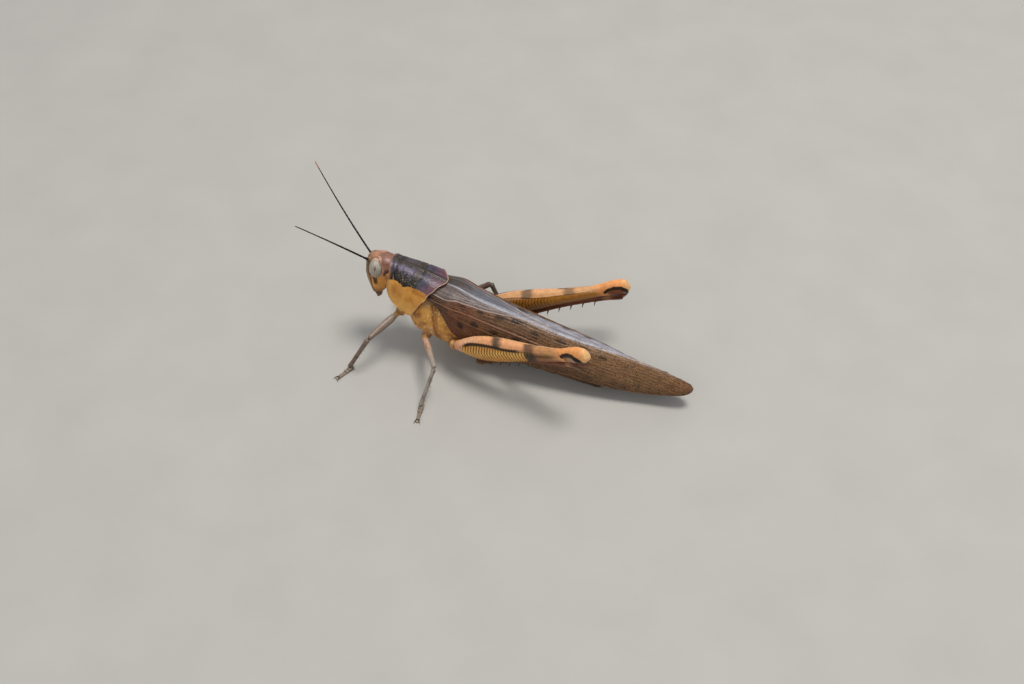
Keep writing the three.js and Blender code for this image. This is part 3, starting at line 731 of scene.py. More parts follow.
def pronotumFinish(s, t, p, n):
    c = pronotumTones
    share = abs(2 * t - 1)
    front, hind = along(pronotum["front"], -p.z)[0], pronotumHind(p.y, p.z)
    toFront, toHind = p.x - front, hind - p.x
    height, cut = 0.0, 0.0
    edge = along(pronotum["edge"], p.x)[0]
    for rows, deep, wide in pronotum["grooves"]:
        x = along(rows, -p.z)[0]
        reach = fade(-7.0, -5.2, p.z)
        here = hump(p.x, x + 0.06 * drift(p, 0.7, 2), wide) * reach
        here *= fade(-0.4, 0.3, drift(p, 1.3, 31) + 0.1)
        height -= 0.75 * deep * here
        cut = max(cut, here)
    carina = hump(p.y, 0, 0.2) * (1 - 0.3 * cut)
    height += pronotum["carina"] * carina * fade(0, 0.5, toFront)
    frontRim = hump(toFront, 0.12, 0.22)
    hindRim = hump(toHind, 0.1, 0.2)
    height += 0.1 * frontRim + 0.07 * hindRim
    rough = fade(12.8, 13.6, p.x)
    height += (0.018 + 0.01 * rough) * drift(p, 0.34, 1)
    lobe = hump(p.z, -8.6 - 0.1 * (p.x - 12), 0.5)
    height += 0.08 * lobe

    back = fade(edge - 0.12, edge + 0.12, p.z + 0.16 * drift(p, 0.55, 4) + 0.1 * drift(p, 0.2, 7))
    cloud = drift(p, 1.1, 11)
    cloudFine = drift(p, 0.45, 17)
    # Purple over the olive back: the shell's own purple plus painted reflection of the sky, which makes it
    # strongest on the near side
    purpleAndSkySheen = fade(0.3, 1.1, abs(p.y)) * fade(-1.5, -0.5, p.z + 0.3 * cloudFine) * (1.0 if p.y < 0 else 0.3)
    backColour = c["olive"].lerp(c["purple"], purpleAndSkySheen * fade(12.4, 10.4, p.x))
    low = fade(-0.2, -0.8, p.z + 0.4 * cloudFine) * fade(13.4, 12.4, p.x)
    backColour = overlay(
        backColour, c,
        ("dark", fade(6.9, 7.4, p.x) * low * 0.9),
        ("dark", hump(p.x, 7.7, 0.45) * 0.75),
        ("slate", fade(12.4, 13.4, p.x) * fade(0.3, 1.0, abs(p.y)) * 0.9),
        ("hind", fade(13.8, 16.6, p.x + 0.8 * cloud + 0.35 * (-p.z)) * fade(0.2, 0.9, abs(p.y))),
        ("dark", 0.5 * hump(p.y, 0, 0.6) * fade(7.5, 9, p.x)),
    )
    backColour = backColour * (1 + 0.3 * cloud + 0.3 * cloudFine)
    backColour = overlay(
        backColour, c,
        ("dark", 0.8 * hump(toFront, 0.95, 0.35) * fade(0.3, 1.0, abs(p.y))),
        ("collar", 0.85 * fade(0.4, 0.2, toFront + 0.12 * cloudFine) * fade(-4.0, -2.6, p.z)),
    )
    amber = c["amber"].lerp(c["deep"], 0.45 * fade(-0.1, 0.5, drift(p, 1.5, 3)))
    amber = overlay(
        amber, c,
        ("deep", 0.8 * hump(p.x, 8.6, 1.0) * hump(p.z, -4.6, 1.3)),
        ("gold", fade(-5.0, -8.5, p.z) * 0.8),
        ("gold", 0.7 * hump(toFront, 0.7, 0.5) * fade(-2.4, -3.2, p.z)),
        ("shade", 0.5 * fade(-3.2, -2.3, p.z) * fade(11, 13, p.x)),
    )
    colour = amber.lerp(backColour, back)
    colour = colour.lerp(c["rim"], clamp(0.7 * frontRim * (0.5 + 0.2 * back)))
    first, second = (along(rows, -p.z)[0] for rows, _, _ in pronotum["grooves"][:2])
    paleLine = hump(p.x, first - 0.12, 0.1) * fade(-0.6, -1.4, p.z)
    paleLine = max(paleLine, 0.6 * hump(p.x, second + 0.1, 0.1) * fade(-0.4, -1.0, p.z))
    paleLine *= fade(-3.4, -2.6, p.z)
    colour = overlay(
        colour, c,
        ("paleRim", 0.6 * paleLine * fade(-0.1, 0.35, drift(p, 0.4, 12))),
        ("paleRim", 0.8 * hump(toHind, 0.02, 0.15)),
    )
    fleck = (
        fade(0.5, 0.62, drift(p, 0.32, 15)) * hump(p.z, edge + 0.25, 0.7) * fade(13.4, 12.4, p.x)
        * fade(8.4, 9.2, p.x)
    )
    colour = overlay(
        colour, c,
        ("speck", 0.8 * fleck),
        ("dark", 0.3 * cut * back),
    )
    middle = back * hump(p.z, -1.2, 1.2) * fade(8, 9, p.x) * fade(13.4, 12.6, p.x)
    grit = drift(p, 0.24, 25)
    colour = colour.lerp(c["grit"], 0.55 * fade(0.3, 0.5, grit) * middle)
    height += 0.03 * grit * middle
    return height, colour, (0, 0.15 + 0.22 * back * (1 - 0.6 * fade(0.1, 0.5, cloud)), 0)


saddleMesh = blank()
addForm(saddleMesh, pronotum["cells"], pronotumPlace, pronotumFinish, level=-6.0)
makePiece("saddle", saddleMesh, materials["pronotum"], ["pronotum"], wall=pronotum["wall"])
print("pronotum made")

# ---- thorax and abdomen ----
trunk = {
    # along, half width, top, widest height, bottom
    "rows": [
        [4.4, 1.9, -1.9, -4.6, -7.2], [6.5, 2.6, -1.4, -4.8, -7.9], [9, 3.05, -1.4, -6.5, -10.4],
        [13.2, 3.5, -1.5, -8.6, -12.8], [15.4, 4.7, -1.9, -9.7, -14.2], [19, 5.0, -2.2, -10.0, -14.4],
        [23, 5.0, -2.3, -10.2, -14.5], [26.5, 4.6, -2.4, -10.0, -14.1], [34, 4.1, -2.7, -8.8, -12.7],
        [44, 3.6, -3.0, -7.6, -11.3], [53, 2.9, -3.4, -7.2, -10.3], [56.5, 2.4, -4.0, -7.2, -10.05],
        [58.5, 2.0, -4.7, -7.2, -9.6], [61, 1.1, -6.1, -7.3, -8.5],
    ],
    "rings": [26.3, 29.2, 32.7, 36.3, 39.9, 43.5, 47.1, 50.6, 53.8, 56.8],
    # swellings of the side: along, height, half length, half height, rise
    "bulges": [(16.4, -8.6, 1.2, 2.4, 0.3), (21.2, -8.7, 1.35, 2.8, 0.5), (25.6, -8.6, 1.0, 2.2, 0.25)],
    "breastSeams": (10.2, 15.6, 19.3, 23.4),
    # along, height, and the ear's half length and half height
    "pit": (13.9, -8.6), "ear": (28.3, -6.4), "earSize": (0.95, 1.15),
}
thoraxTones = tones(
    amber=0xcc9146, deep=0xa0662d, pale=0xcfa476, seam=0x3e220e, top=0x4a3626, gold=0xd99f4c,
    speck=0xf2cf9b, grey=0x7b6552,
)
# The abdomen's own browns with painted shade from the wings over it, darker still towards the tail
abdomenShadedTones = tones(
    back=0x5c3a20, side=0x7a5029, belly=0x6f4d2b, seam=0x24150a, ring=0x5f4124, end=0x3a2617, tip=0x120b07
)


def floorBelow(u):
    return (-standing["foreheadZ"] + u * math.sin(slope)) / math.cos(slope)


def trunkPlace(first, last):
    def place(s, t):
        x = even(first, last, s)
        close = rounded(min((x - first) / 0.35, (last - x) / 0.35))
        half, top, middle, bottom = along(trunk["rows"], x)
        angle = 2 * math.pi * t
        up = math.sin(angle) > 0
        tall = top - middle if up else middle - bottom
        z = middle + close * tall * power(math.sin(angle), 0.95 if up else 0.72)
        y = close * half * power(math.cos(angle), 1.35 if up else 0.66)
        return Vector((x, y, max(z, floorBelow(x))))
    return place


def thoraxFinish(s, t, p, n):
    c = thoraxTones
    side = fade(0.2, 0.7, abs(n.y))
    low = fade(-0.2, -0.7, n.z)
    height = 0.0
    seamA = 17.05 + 0.42 * (-p.z - 4)
    seamB = seamA + 0.85
    seams = 0.0
    for x, deep, stain in (
        (14.6 + 0.3 * (-p.z - 6), 0.16, 0.5), (seamA, 0.28, 0.95), (seamB, 0.14, 0.3),
        (24.2 + 0.25 * (-p.z - 6), 0.14, 0.5),
    ):
        here = hump(p.x, x + 0.12 * drift(p, 1.1, 8), 0.17) * side * fade(-0.6, 0.1, drift(p, 1.4, 33))
        height -= deep * here
        seams = max(seams, here * stain)
    for x, z, wide, tall, rise in trunk["bulges"]:
        height += rise * hump(p.x, x + 0.2 * (z - p.z), wide) * hump(p.z, z, tall) * side
    basal = hump(p.z, -11.3 + 0.2 * math.sin(p.x * 1.4), 0.16) * side
    height -= 0.1 * basal
    seams = max(seams, 0.5 * basal)
    mid = hump(p.y, 0, 0.1) * low
    cross = max(hump(p.x, x, 0.12) for x in trunk["breastSeams"]) * low
    height -= 0.12 * max(mid * 0.6, cross)
    pitX, pitZ = trunk["pit"]
    pit = math.hypot(p.x - pitX, p.z - pitZ) if side > 0.4 else 9
    height += 0.1 * hump(pit, 0.42, 0.12) - 0.1 * hump(pit, 0, 0.25)
    height += 0.035 * drift(p, 0.7, 2) + 0.02 * drift(p, 0.2, 5)
    colour = c["amber"].lerp(c["deep"], fade(-0.1, 0.5, drift(p, 1.6, 1)))
    colour = overlay(
        colour, c,
        # gold: painted highlight on the tops of the side bulges
        ("gold", 0.7 * hump(p.x, seamA - 1.0, 0.8) * side + 0.5 * hump(p.x, seamB + 1.4, 0.9) * side),
        ("top", fade(-5.4, -3.8, p.z) * fade(14.5, 16.5, p.x)),
        ("grey", 0.5 * fade(-6.6, -5.2, p.z) * fade(14.5, 16, p.x) * fade(-3.8, -5.2, p.z)),
        ("pale", 0.75 * low + 0.7 * hump(p.x, 19.2, 1.5) * fade(-9.4, -10.4, p.z) * side),
        # deep: the brown of the suture, widened by painted shade in the hollow between the two bulges
        ("deep", 0.75 * hump(p.x, even(seamA, seamB, 0.5), 0.9) * side),
        ("seam", clamp(0.55 * seams + 0.5 * hump(pit, 0, 0.22))),
    )
    # Pale flecks: painted glints of light on the side plates
    fleck = fade(0.42, 0.56, drift(p, 0.4, 21)) * side
    colour = colour.lerp(c["speck"], 0.7 * fleck)
    return height, colour, (0, 0.35, 0)


def abdomenFinish(s, t, p, n):
    c = abdomenShadedTones
    height, ringEdge = 0.0, 0.0
    rings = trunk["rings"]
    for k in range(len(rings) - 1):
        if rings[k] <= p.x <= rings[k + 1] + 0.001:
            share = (p.x - rings[k]) / (rings[k + 1] - rings[k])
            height += 0.16 * share - 0.14 * hump(share, 1, 0.05) - 0.1 * hump(share, 0, 0.04)
            ringEdge = hump(share, 0.94, 0.05)
            seam = hump(share, 0, 0.035) + hump(share, 1, 0.02)
            break
    else:
        share, seam = 0.5, 0.0
    half, top, middle, bottom = along(trunk["rows"], p.x)
    fold = hump(p.z, middle - 0.1, 0.28)
    height -= 0.22 * fold
    breath = math.hypot((share * 3.5 - 0.9) / 0.22, (p.z - middle - 0.75) / 0.16) if share < 0.5 else 9
    height += 0.05 * hump(breath, 1, 0.35) - 0.06 * hump(breath, 0, 0.6)
    (earX, earZ), (long, tall) = trunk["ear"], trunk["earSize"]
    ear = math.hypot((p.x - earX) / long, (p.z - earZ) / tall)
    height += 0.12 * hump(ear, 1.05, 0.14) - 0.16 * fade(1.0, 0.8, ear)
    height += 0.09 * hump(p.y, 0, 0.25) * fade(0.3, 0.9, n.z)
    height += 0.03 * drift(p, 0.5, 3)
    colour = c["side"].lerp(c["back"], fade(middle + 0.5, middle + 2.2, p.z))
    colour = overlay(
        colour, c,
        ("belly", fade(middle - 0.4, middle - 1.2, p.z)),
        ("end", fade(44, 55, p.x) * 0.75),
        ("ring", 0.45 * ringEdge),
        ("seam", clamp(0.75 * seam + 0.5 * fold + 0.6 * hump(breath, 0, 0.7))),
        ("seam", 0.35 * fade(0.2, 0.5, drift((p.x * 0.4, p.y, p.z * 1.4), 0.5, 8))),
    )
    if p.z < floorBelow(p.x) + 0.3:  # flat where it rests
        height = min(height, 0.0) if p.z > floorBelow(p.x) + 0.02 else 0.0
    return height, colour, (0, 0.3, 0)


# the soft neck inside the front of the saddle: along, then half sizes about its middle
neck = {"at": 8.4, "long": 1.0, "half": 3.6, "middle": -4.1, "tall": 3.3}


def neckPlace(s, t):
    ring = math.sqrt(math.sin(math.pi * s))
    angle = 2 * math.pi * t
    y = neck["half"] * ring * power(math.cos(angle), 0.8)
    z = neck["middle"] + neck["tall"] * ring * power(math.sin(angle), 0.8)
    return Vector((neck["at"] - neck["long"] * math.cos(math.pi * s), y, z))


def neckFinish(s, t, p, n):
    return 0.03 * drift(p, 0.4), thoraxTones["deep"].lerp(thoraxTones["seam"], 0.5), (0, 0.1, 0)


frontMesh = blank()
addForm(frontMesh, (70, 96), trunkPlace(4.4, 13.4), thoraxFinish)
addForm(frontMesh, (40, 64), neckPlace, neckFinish)
spike(
    frontMesh, (10.6, 0, -10.6), (10.9, 0, -12.4), 0.75, (thoraxTones["pale"], thoraxTones["amber"]), 0.0,
    (12, 16), (1, 0, 0), bodyFrame,
)
makePiece("fore_trunk", frontMesh, materials["thorax"], ["prothorax"])
thoraxMesh = blank()
addForm(thoraxMesh, (150, 160), trunkPlace(12.9, 26.9), thoraxFinish)
makePiece("thorax_shell", thoraxMesh, materials["thorax"], ["thorax"])
abdomenMesh = blank()
addForm(abdomenMesh, (300, 110), trunkPlace(26.0, 57.2), abdomenFinish)
makePiece("abdomen_rings", abdomenMesh, materials["abdomen"], ["abdomen"])

valves = {
    # from, to, half thickness, bend
    "upper": [(56.2, 0.75, -6.0), (60.9, 0.5, -6.35), 0.85, 0.25],
    "lower": [(56.2, 0.75, -8.2), (60.3, 0.5, -8.35), 0.75, -0.2],
    "cercus": [(56.4, 1.75, -5.9), (58.3, 2.0, -5.6), 0.35, 0.0],
    "plate": [(55.9, 0, -5.2), (58.6, 0, -5.2), 0.9, 0.15],
}


def valveFinish(s, t, p, n):
    c = abdomenShadedTones
    colour = c["side"].lerp(c["end"], fade(0.3, 0.7, s)).lerp(c["tip"], fade(0.68, 0.88, s))
    return 0.03 * drift(p, 0.3), colour, (0, 0.5, 0)


valveMesh = blank()
for start, end, half, bend in valves.values():
    for side in sides.values() if start[1] else (1,):
        turn, length = aim((start[0], side * start[1], start[2]), (end[0], side * end[1], end[2]))
        rows = [
            [0, half, half, half * 0.9], [0.45, half, half, half * 0.85],
            [0.8, half * 0.5, half * 0.5, half * 0.5], [1, 0.12, 0.12, 0.12],
        ]
        straight = limbPlace(length, rows, (0.3, 0.15))

        def place(s, t):
            p = straight(s, t)
            p.z += bend * 2 * (p.x / length) ** 3
            return p

        addForm(valveMesh, (30, 24), place, valveFinish, bodyFrame @ turn)
makePiece("egg_valves", valveMesh, materials["abdomen"], ["ovipositor"])
print("trunk made")

# ---- forewings ----
wing = {
    # along, ridge, half width, depth below the ridge, roundness
    "rows": [
        [15.4, -0.9, 3.6, 2.7, 2.3], [19, -0.72, 4.2, 3.8, 2.2], [21, -0.6, 5.1, 5.1, 2.2],
        [23, -0.65, 5.5, 7.0, 2.05], [25.5, -0.7, 5.5, 8.1, 1.9], [31, -0.7, 5.3, 8.2, 1.75],
        [40, -0.5, 5.0, 7.3, 1.6], [50, 0.0, 4.6, 6.5, 1.45], [57, 0.6, 4.2, 6.4, 1.35],
        [62, 1.0, 3.6, 6.0, 1.3], [67, 1.2, 2.8, 5.0, 1.33], [71.5, 1.2, 2.0, 3.4, 1.45],
        [73.3, 1.0, 1.55, 2.5, 1.6], [74.4, 0.62, 1.0, 1.5, 1.8], [75, 0.1, 0.3, 0.4, 2.0],
    ],
    "cells": (430, 104), "wall": 0.16,
    # veins: rows of along, share from ridge to margin; then height, half width, tone
    "veins": [
        ([[15.4, 0.3], [20, 0.24], [25, 0.16], [31, 0.1], [36, 0.04], [39, -0.05]], 0.05, 0.09, "paleVein"),
        (
            [[15.4, 0.46], [19.5, 0.38], [22, 0.27], [27, 0.2], [33, 0.12], [39, 0.02], [41, -0.05]],
            0.05, 0.08, "paleVein",
        ),
        (
            [
                [15.4, 0.62], [19.15, 0.55], [21.65, 0.35], [23.65, 0.3], [28.15, 0.26], [31.4, 0.2],
                [35.65, 0.11], [40.15, 0.05], [44, -0.04],
            ],
            0.1, 0.12, "light",
        ),
        (
            [
                [15.4, 0.75], [19.5, 0.62], [23.65, 0.4], [28, 0.36], [34, 0.29], [42, 0.22],
                [50, 0.12], [57, -0.03],
            ],
            0.06, 0.08, "vein",
        ),
        (
            [
                [17, 0.8], [20, 0.66], [23, 0.47], [28, 0.435], [35, 0.4], [45, 0.34], [55, 0.25],
                [64, 0.1], [69, -0.03],
            ],
            0.06, 0.08, "vein",
        ),
        (
            [[15.4, 0.95], [18.15, 0.84], [21.4, 0.62], [23.65, 0.51], [28.15, 0.49], [42, 0.51], [48, 0.52]],
            0.13, 0.15, "main",
        ),
        ([[47, 0.52], [54, 0.52], [62, 0.5], [70, 0.45], [75, 0.42]], 0.06, 0.08, "vein"),
        (
            [
                [15.4, 1.0], [18.5, 0.92], [22, 0.72], [26, 0.66], [35, 0.66], [45, 0.7], [55, 0.8],
                [62, 0.95], [64, 1.1],
            ],
            0.08, 0.1, "vein",
        ),
        ([[17, 1.05], [20, 0.92], [25, 0.82], [33, 0.83], [42, 0.9], [48, 1.05]], 0.07, 0.09, "vein"),
        ([[42, 0.5], [50, 0.42], [58, 0.3], [65, 0.12], [69, -0.03]], 0.05, 0.07, "vein"),
        ([[47, 0.51], [54, 0.44], [62, 0.32], [68, 0.16], [72, -0.03]], 0.05, 0.07, "vein"),
        ([[52, 0.52], [60, 0.42], [67, 0.28], [72, 0.1], [74, -0.05]], 0.05, 0.07, "vein"),
        ([[56, 0.51], [63, 0.56], [69, 0.68], [72, 0.85], [73.5, 1.1]], 0.05, 0.07, "vein"),
        ([[50, 0.52], [57, 0.62], [63, 0.76], [67, 0.92], [69, 1.1]], 0.05, 0.07, "vein"),
    ],
    # dark blotches: along, share, half length, half height in shares
    "blotches": [
        (23.65, 0.38, 0.9, 0.05), (27.4, 0.32, 0.9, 0.04), (27.4, 0.6, 1.1, 0.05),
        (31.65, 0.28, 1.1, 0.05), (34.9, 0.24, 0.9, 0.04), (35.65, 0.19, 1.2, 0.05),
        (39.9, 0.35, 1.3, 0.06), (31.5, 0.6, 1.0, 0.05), (45.5, 0.28, 1.2, 0.05),
        (36.5, 0.58, 1.2, 0.05), (50.5, 0.24, 1.1, 0.05), (24.5, 0.75, 0.9, 0.06),
        (43.5, 0.6, 1.2, 0.05), (55.0, 0.32, 1.0, 0.05),
    ],
}
# ridge is the painted sky reflection on the crest, slate the painted blue-grey sheen beside it, far the
# painted shade on the far wing's base
wingTones = tones(
    ridge=0xacafbe, slate=0x585d69, far=0x332e2b, anal=0x564b49, base=0x5a3825, mid=0x56402c,
    outer=0x694f36, tip=0x62452f, low=0x46301f, lowLine=0x744f2e, blotch=0x1b100a, light=0xa69084,
    paleVein=0x84756f, vein=0x6a4a30, main=0x84553f, shoulder=0x33241d,
)
wingColumns = {}


def alongWing(s):
    return even(wing["rows"][0][0], wing["rows"][-1][0], s)


def wingPoint(u, share, side):
    ridge, half, depth, roundness = along(wing["rows"], u)
    wide = fade(15.4, 20, u) * fade(66, 50, u) * (1.0 if side > 0 else 0.35)
    half, roundness = half * (1 + 0.1 * wide), roundness + 0.55 * wide
    angle = even(0.0, math.pi / 2, share)
    y = half * math.sin(angle) ** (2 / roundness)
    fall = depth * (1 - math.cos(angle) ** (2 / roundness))
    inner = fade(0.06, 0.0, share)
    lap = 0.3 * inner * fade(16, 20, u) * fade(74, 68, u)
    across = max(y, 0.02) - (lap if side < 0 else lap * 0.6)
    above = 0.07 * inner if side < 0 else -0.08 * inner
    return Vector((u, side * across, ridge - fall + above))


def wingColumn(u):  # lengths across the wing and its veins' places at one distance along it
    key = round(u, 3)
    if key not in wingColumns:
        points = [wingPoint(u, k / 20, -1) for k in range(21)]
        lengths = [0.0]
        for a, b in zip(points, points[1:]):
            lengths.append(lengths[-1] + (b - a).length)
        veins = []
        for rows, height, half, name in wing["veins"]:
            if rows[0][0] <= u <= rows[-1][0]:
                veins.append((along(rows, u)[0], height, half, wingTones[name]))
        wingColumns[key] = lengths, veins
    return wingColumns[key]


def acrossWing(u, share):
    lengths, _ = wingColumn(u)
    k = min(int(share * 20), 19)
    return even(lengths[k], lengths[k + 1], share * 20 - k)


def wingFinish(side):
    def finish(s, t, p, n):
        c = wingTones
        u, share = alongWing(s), t
        lengths, veins = wingColumn(u)
        reach = acrossWing(u, share)
        total = lengths[-1]
        bend = 0.06 * math.sin(u * 1.3) + 0.05 * math.sin(u * 0.6 + 2)
        cuP = along(wing["veins"][2][0], min(u, 44))[0] if u < 44 else -0.04
        analShare = fade(cuP + 0.02, cuP - 0.02, share)
        broadOuter = fade(34, 58, u)
        colour = overlay(
            c["base"], c,
            ("mid", fade(22, 34, u)),
            ("outer", broadOuter * fade(0.95, 0.3, share) + 0.25 * broadOuter),
            ("low", fade(0.62, 0.98, share) * 0.6 * fade(30, 45, u)),
            ("tip", fade(66, 74, u) * 0.8),
            # shoulder: the dark wing base, with painted shade where the saddle's hind edge overhangs it
            ("shoulder", fade(21.5, 18.5, u) * fade(0.3, 0.5, share) * 0.85),
            ("anal", analShare * 0.95),
        )
        # Pale crest: painted reflection of the sky along the top of the folded wings, a thin line on the near
        # wing and a broad band on the far wing
        crestAt = 0.75 * fade(17, 26, u) * fade(64, 44, u)
        crestHalf = even(0.2, 0.34, fade(22, 36, u))
        threads = 0.75 + 0.45 * drift((u * 0.5, reach * 9, 0), 1.0, 41)
        crestGlint = hump(reach, crestAt, crestHalf) * fade(16, 20, u) * fade(72, 50, u) * threads
        if side > 0:
            crestGlint = 0.75 * fade(2.8, 1.5, reach) * fade(30, 44, u) * fade(74, 60, u) * threads
        # Blue-grey band beside the crest: painted sheen of the sky
        flankSheen = fade(3.6, 1.6, reach) if side > 0 else fade(crestAt + 0.2, crestAt - 0.2, reach)
        flankSheen *= fade(19, 27, u) * fade(74, 60, u)
        colour = overlay(
            colour, c,
            ("slate", 0.85 * flankSheen * clamp(threads)),
            # far: painted shade on the far wing near its base
            ("far", 0.8 * fade(25, 19, u) if side > 0 else 0.0),
            ("ridge", clamp(0.85 * crestGlint)),
        )
        streak = drift((u * 0.35, reach * 2.6, 0), 1.0, 4)
        colour = colour * (1 + 0.2 * streak)
        patchy = drift((u * 0.5, reach, 0), 0.9, 9)
        colour = colour * (1 + 0.22 * patchy)
        wobble = 0.35 * drift((u, reach, 0), 0.7, 14)
        for bu, bs, bl, bh in wing["blotches"]:
            if abs(u - bu) < 3:
                blotch = math.hypot((u - bu) / bl, (share - bs) / bh) + wobble
                colour = colour.lerp(c["blotch"], 0.75 * fade(1.3, 0.6, blotch))
        height, onVein = 0.0, 0.0
        for place, rise, half, veinTone in veins:
            gap = (share - place) * total + 0.02 * bend
            here = math.exp(-((gap / half) ** 2)) if abs(gap) < half * 3 else 0.0
            ditch = math.exp(-(((abs(gap) - half * 2.2) / half) ** 2)) if abs(gap) < half * 5 else 0.0
            height += rise * here - 0.25 * rise * ditch
            colour = colour.lerp(veinTone, 0.85 * here)
            onVein = max(onVein, here)
        pleats = math.sin(reach * 9.5 + 0.6 * math.sin(u * 0.4)) * fade(18, 24, u)
        height += 0.018 * pleats + 0.02 * drift((u, reach, 0), 0.35, 5)
        margin = fade(0.955, 0.985, share)
        colour = colour.lerp(c["lowLine"], 0.8 * margin * fade(40, 50, u))
        height += 0.05 * margin
        strength = (
            (1 - onVein) * (0.75 + 0.25 * fade(24, 40, u)) * (1 - 0.55 * analShare)
            * (1 - 0.7 * max(crestGlint, flankSheen))
        )
        return height, colour, (strength, 0.15 + 0.15 * analShare, 0)
    return finish


for name, side in sides.items():
    wingMesh = blank()
    addForm(
        wingMesh, wing["cells"],
        lambda s, t: wingPoint(alongWing(s), t, side),
        wingFinish(side),
        lie=lambda s, t: (alongWing(s), acrossWing(alongWing(s), t) + 20 * side),
        level=-5.0,
    )
    makePiece("tegmen_" + name, wingMesh, materials["wing"], ["forewing_" + name], wall=wing["wall"])
print("forewings made")

# ---- legs ----
legs = {
    # root, hip, knee, ankle, then the tip of the toes
    "front_left": [
        (9.3, -2.2, 11.2), (7.9, -4.3, 10.3), (4.6, -12.2, 9.3), (0.5, -13.8, 1.35), (-1.4, -18.2, 0)
    ],
    "front_right": [(9.3, 2.2, 11.2), (7.9, 4.3, 10.3), (4.4, 11.9, 9.2), (1.0, 14.0, 1.35), (-0.8, 18.3, 0)],
    "middle_left": [
        (15, -2.8, 7.0), (14.7, -5.6, 6.5), (20.3, -14.2, 7.7), (19, -19.1, 1.35), (19.8, -24.1, 0)
    ],
    "middle_right": [
        (15, 2.8, 7.0), (15.2, 5.5, 6.7), (23.9, 11.6, 9.9), (25.4, 14.3, 1.35), (28.2, 18.8, 0)
    ],
    "hind_left": [
        (21.2, -3, 6.0), (21.7, -6.6, 7.6), (52.1, -10.8, 18.2), (26.2, -3.0, 1.5), (32.0, -0.9, 0)
    ],
    "hind_right": [(21.2, 3, 6.0), (21.7, 6.6, 7.2), (53.4, 15.4, 14.4), (26.6, 8.4, 1.5), (33.0, 10.4, 0)],
}
femur = {
    # share of the length, up, down, out
    "small": [
        [0, 0.6, 0.6, 0.6], [0.15, 0.87, 0.87, 0.7], [0.5, 0.86, 0.82, 0.7], [0.9, 0.6, 0.6, 0.56],
        [1, 0.68, 0.72, 0.62],
    ],
    "hind": [
        [0, 0.9, 0.9, 0.85], [0.06, 1.55, 1.5, 1.15], [0.12, 2.25, 2.3, 1.35], [0.18, 2.8, 2.95, 1.45],
        [0.27, 3.1, 3.2, 1.5], [0.38, 3.0, 2.95, 1.45], [0.55, 2.15, 2.2, 1.2], [0.7, 1.65, 1.7, 1.0],
        [0.79, 1.6, 1.5, 0.95], [0.86, 2.1, 1.35, 1.15], [0.92, 2.35, 1.2, 1.35],
        [0.97, 2.15, 1.0, 1.25], [1, 1.8, 0.7, 1.1],
    ],
    # the black line over the herringbone: share of the length, height
    "line": [
        [0, 0.2], [0.1, 1.15], [0.16, 1.73], [0.24, 1.86], [0.31, 1.71], [0.38, 1.32], [0.45, 1.07],
        [0.53, 0.97], [0.7, 0.9], [1, 0.9],
    ],
    "slim": {-1: 1.0, 1: 0.78}, "chevron": 0.71, "bands": (0.318, 0.39, 0.542, 0.615), "kneeFrom": 0.8,
    # the black crescent of the knee from its near end: distance from the femur's end, height, half thickness
    "crescent": {
        -1: [
            (6.2, 0.4, 0.38), (5.6, 0.8, 0.44), (4.5, 1.05, 0.45), (3.4, 0.9, 0.48), (2.6, 0.3, 0.56),
            (1.8, -0.4, 0.5), (1.2, -0.8, 0.34),
        ],
        1: [
            (5.6, 0.2, 0.34), (4.9, 0.75, 0.38), (3.4, 1.2, 0.4), (1.95, 1.05, 0.42), (1.0, 0.2, 0.42),
            (0.8, -0.5, 0.22),
        ],
    },
    "inside": {-1: (3.6, -0.25, 2.3, 1.2), 1: (3.1, -0.1, 2.1, 1.15)},
}
femurTones = tones(
    peach=0xdba680, top=0xdd9c6c, orange=0xdd9e4b, gold=0xecba66, rust=0x7a4520, line=0x4f270d,
    black=0x0d0603, band=0x2a2119, smudge=0x433a30, brown=0x56361a, distal=0xad7c4c, knee=0xe0965a,
    kneePale=0xd9aa74, pale=0xcf9470, headTone=0xa58266, kneeInner=0x75422a, under=0x74461f,
    inner=0xc58538, innerLow=0x9c6630, innerTop=0xcf9a6a, tick=0x482709, grey=0x8f8175,
    greyPale=0xbd987c, greyDark=0x4c3f36,
)


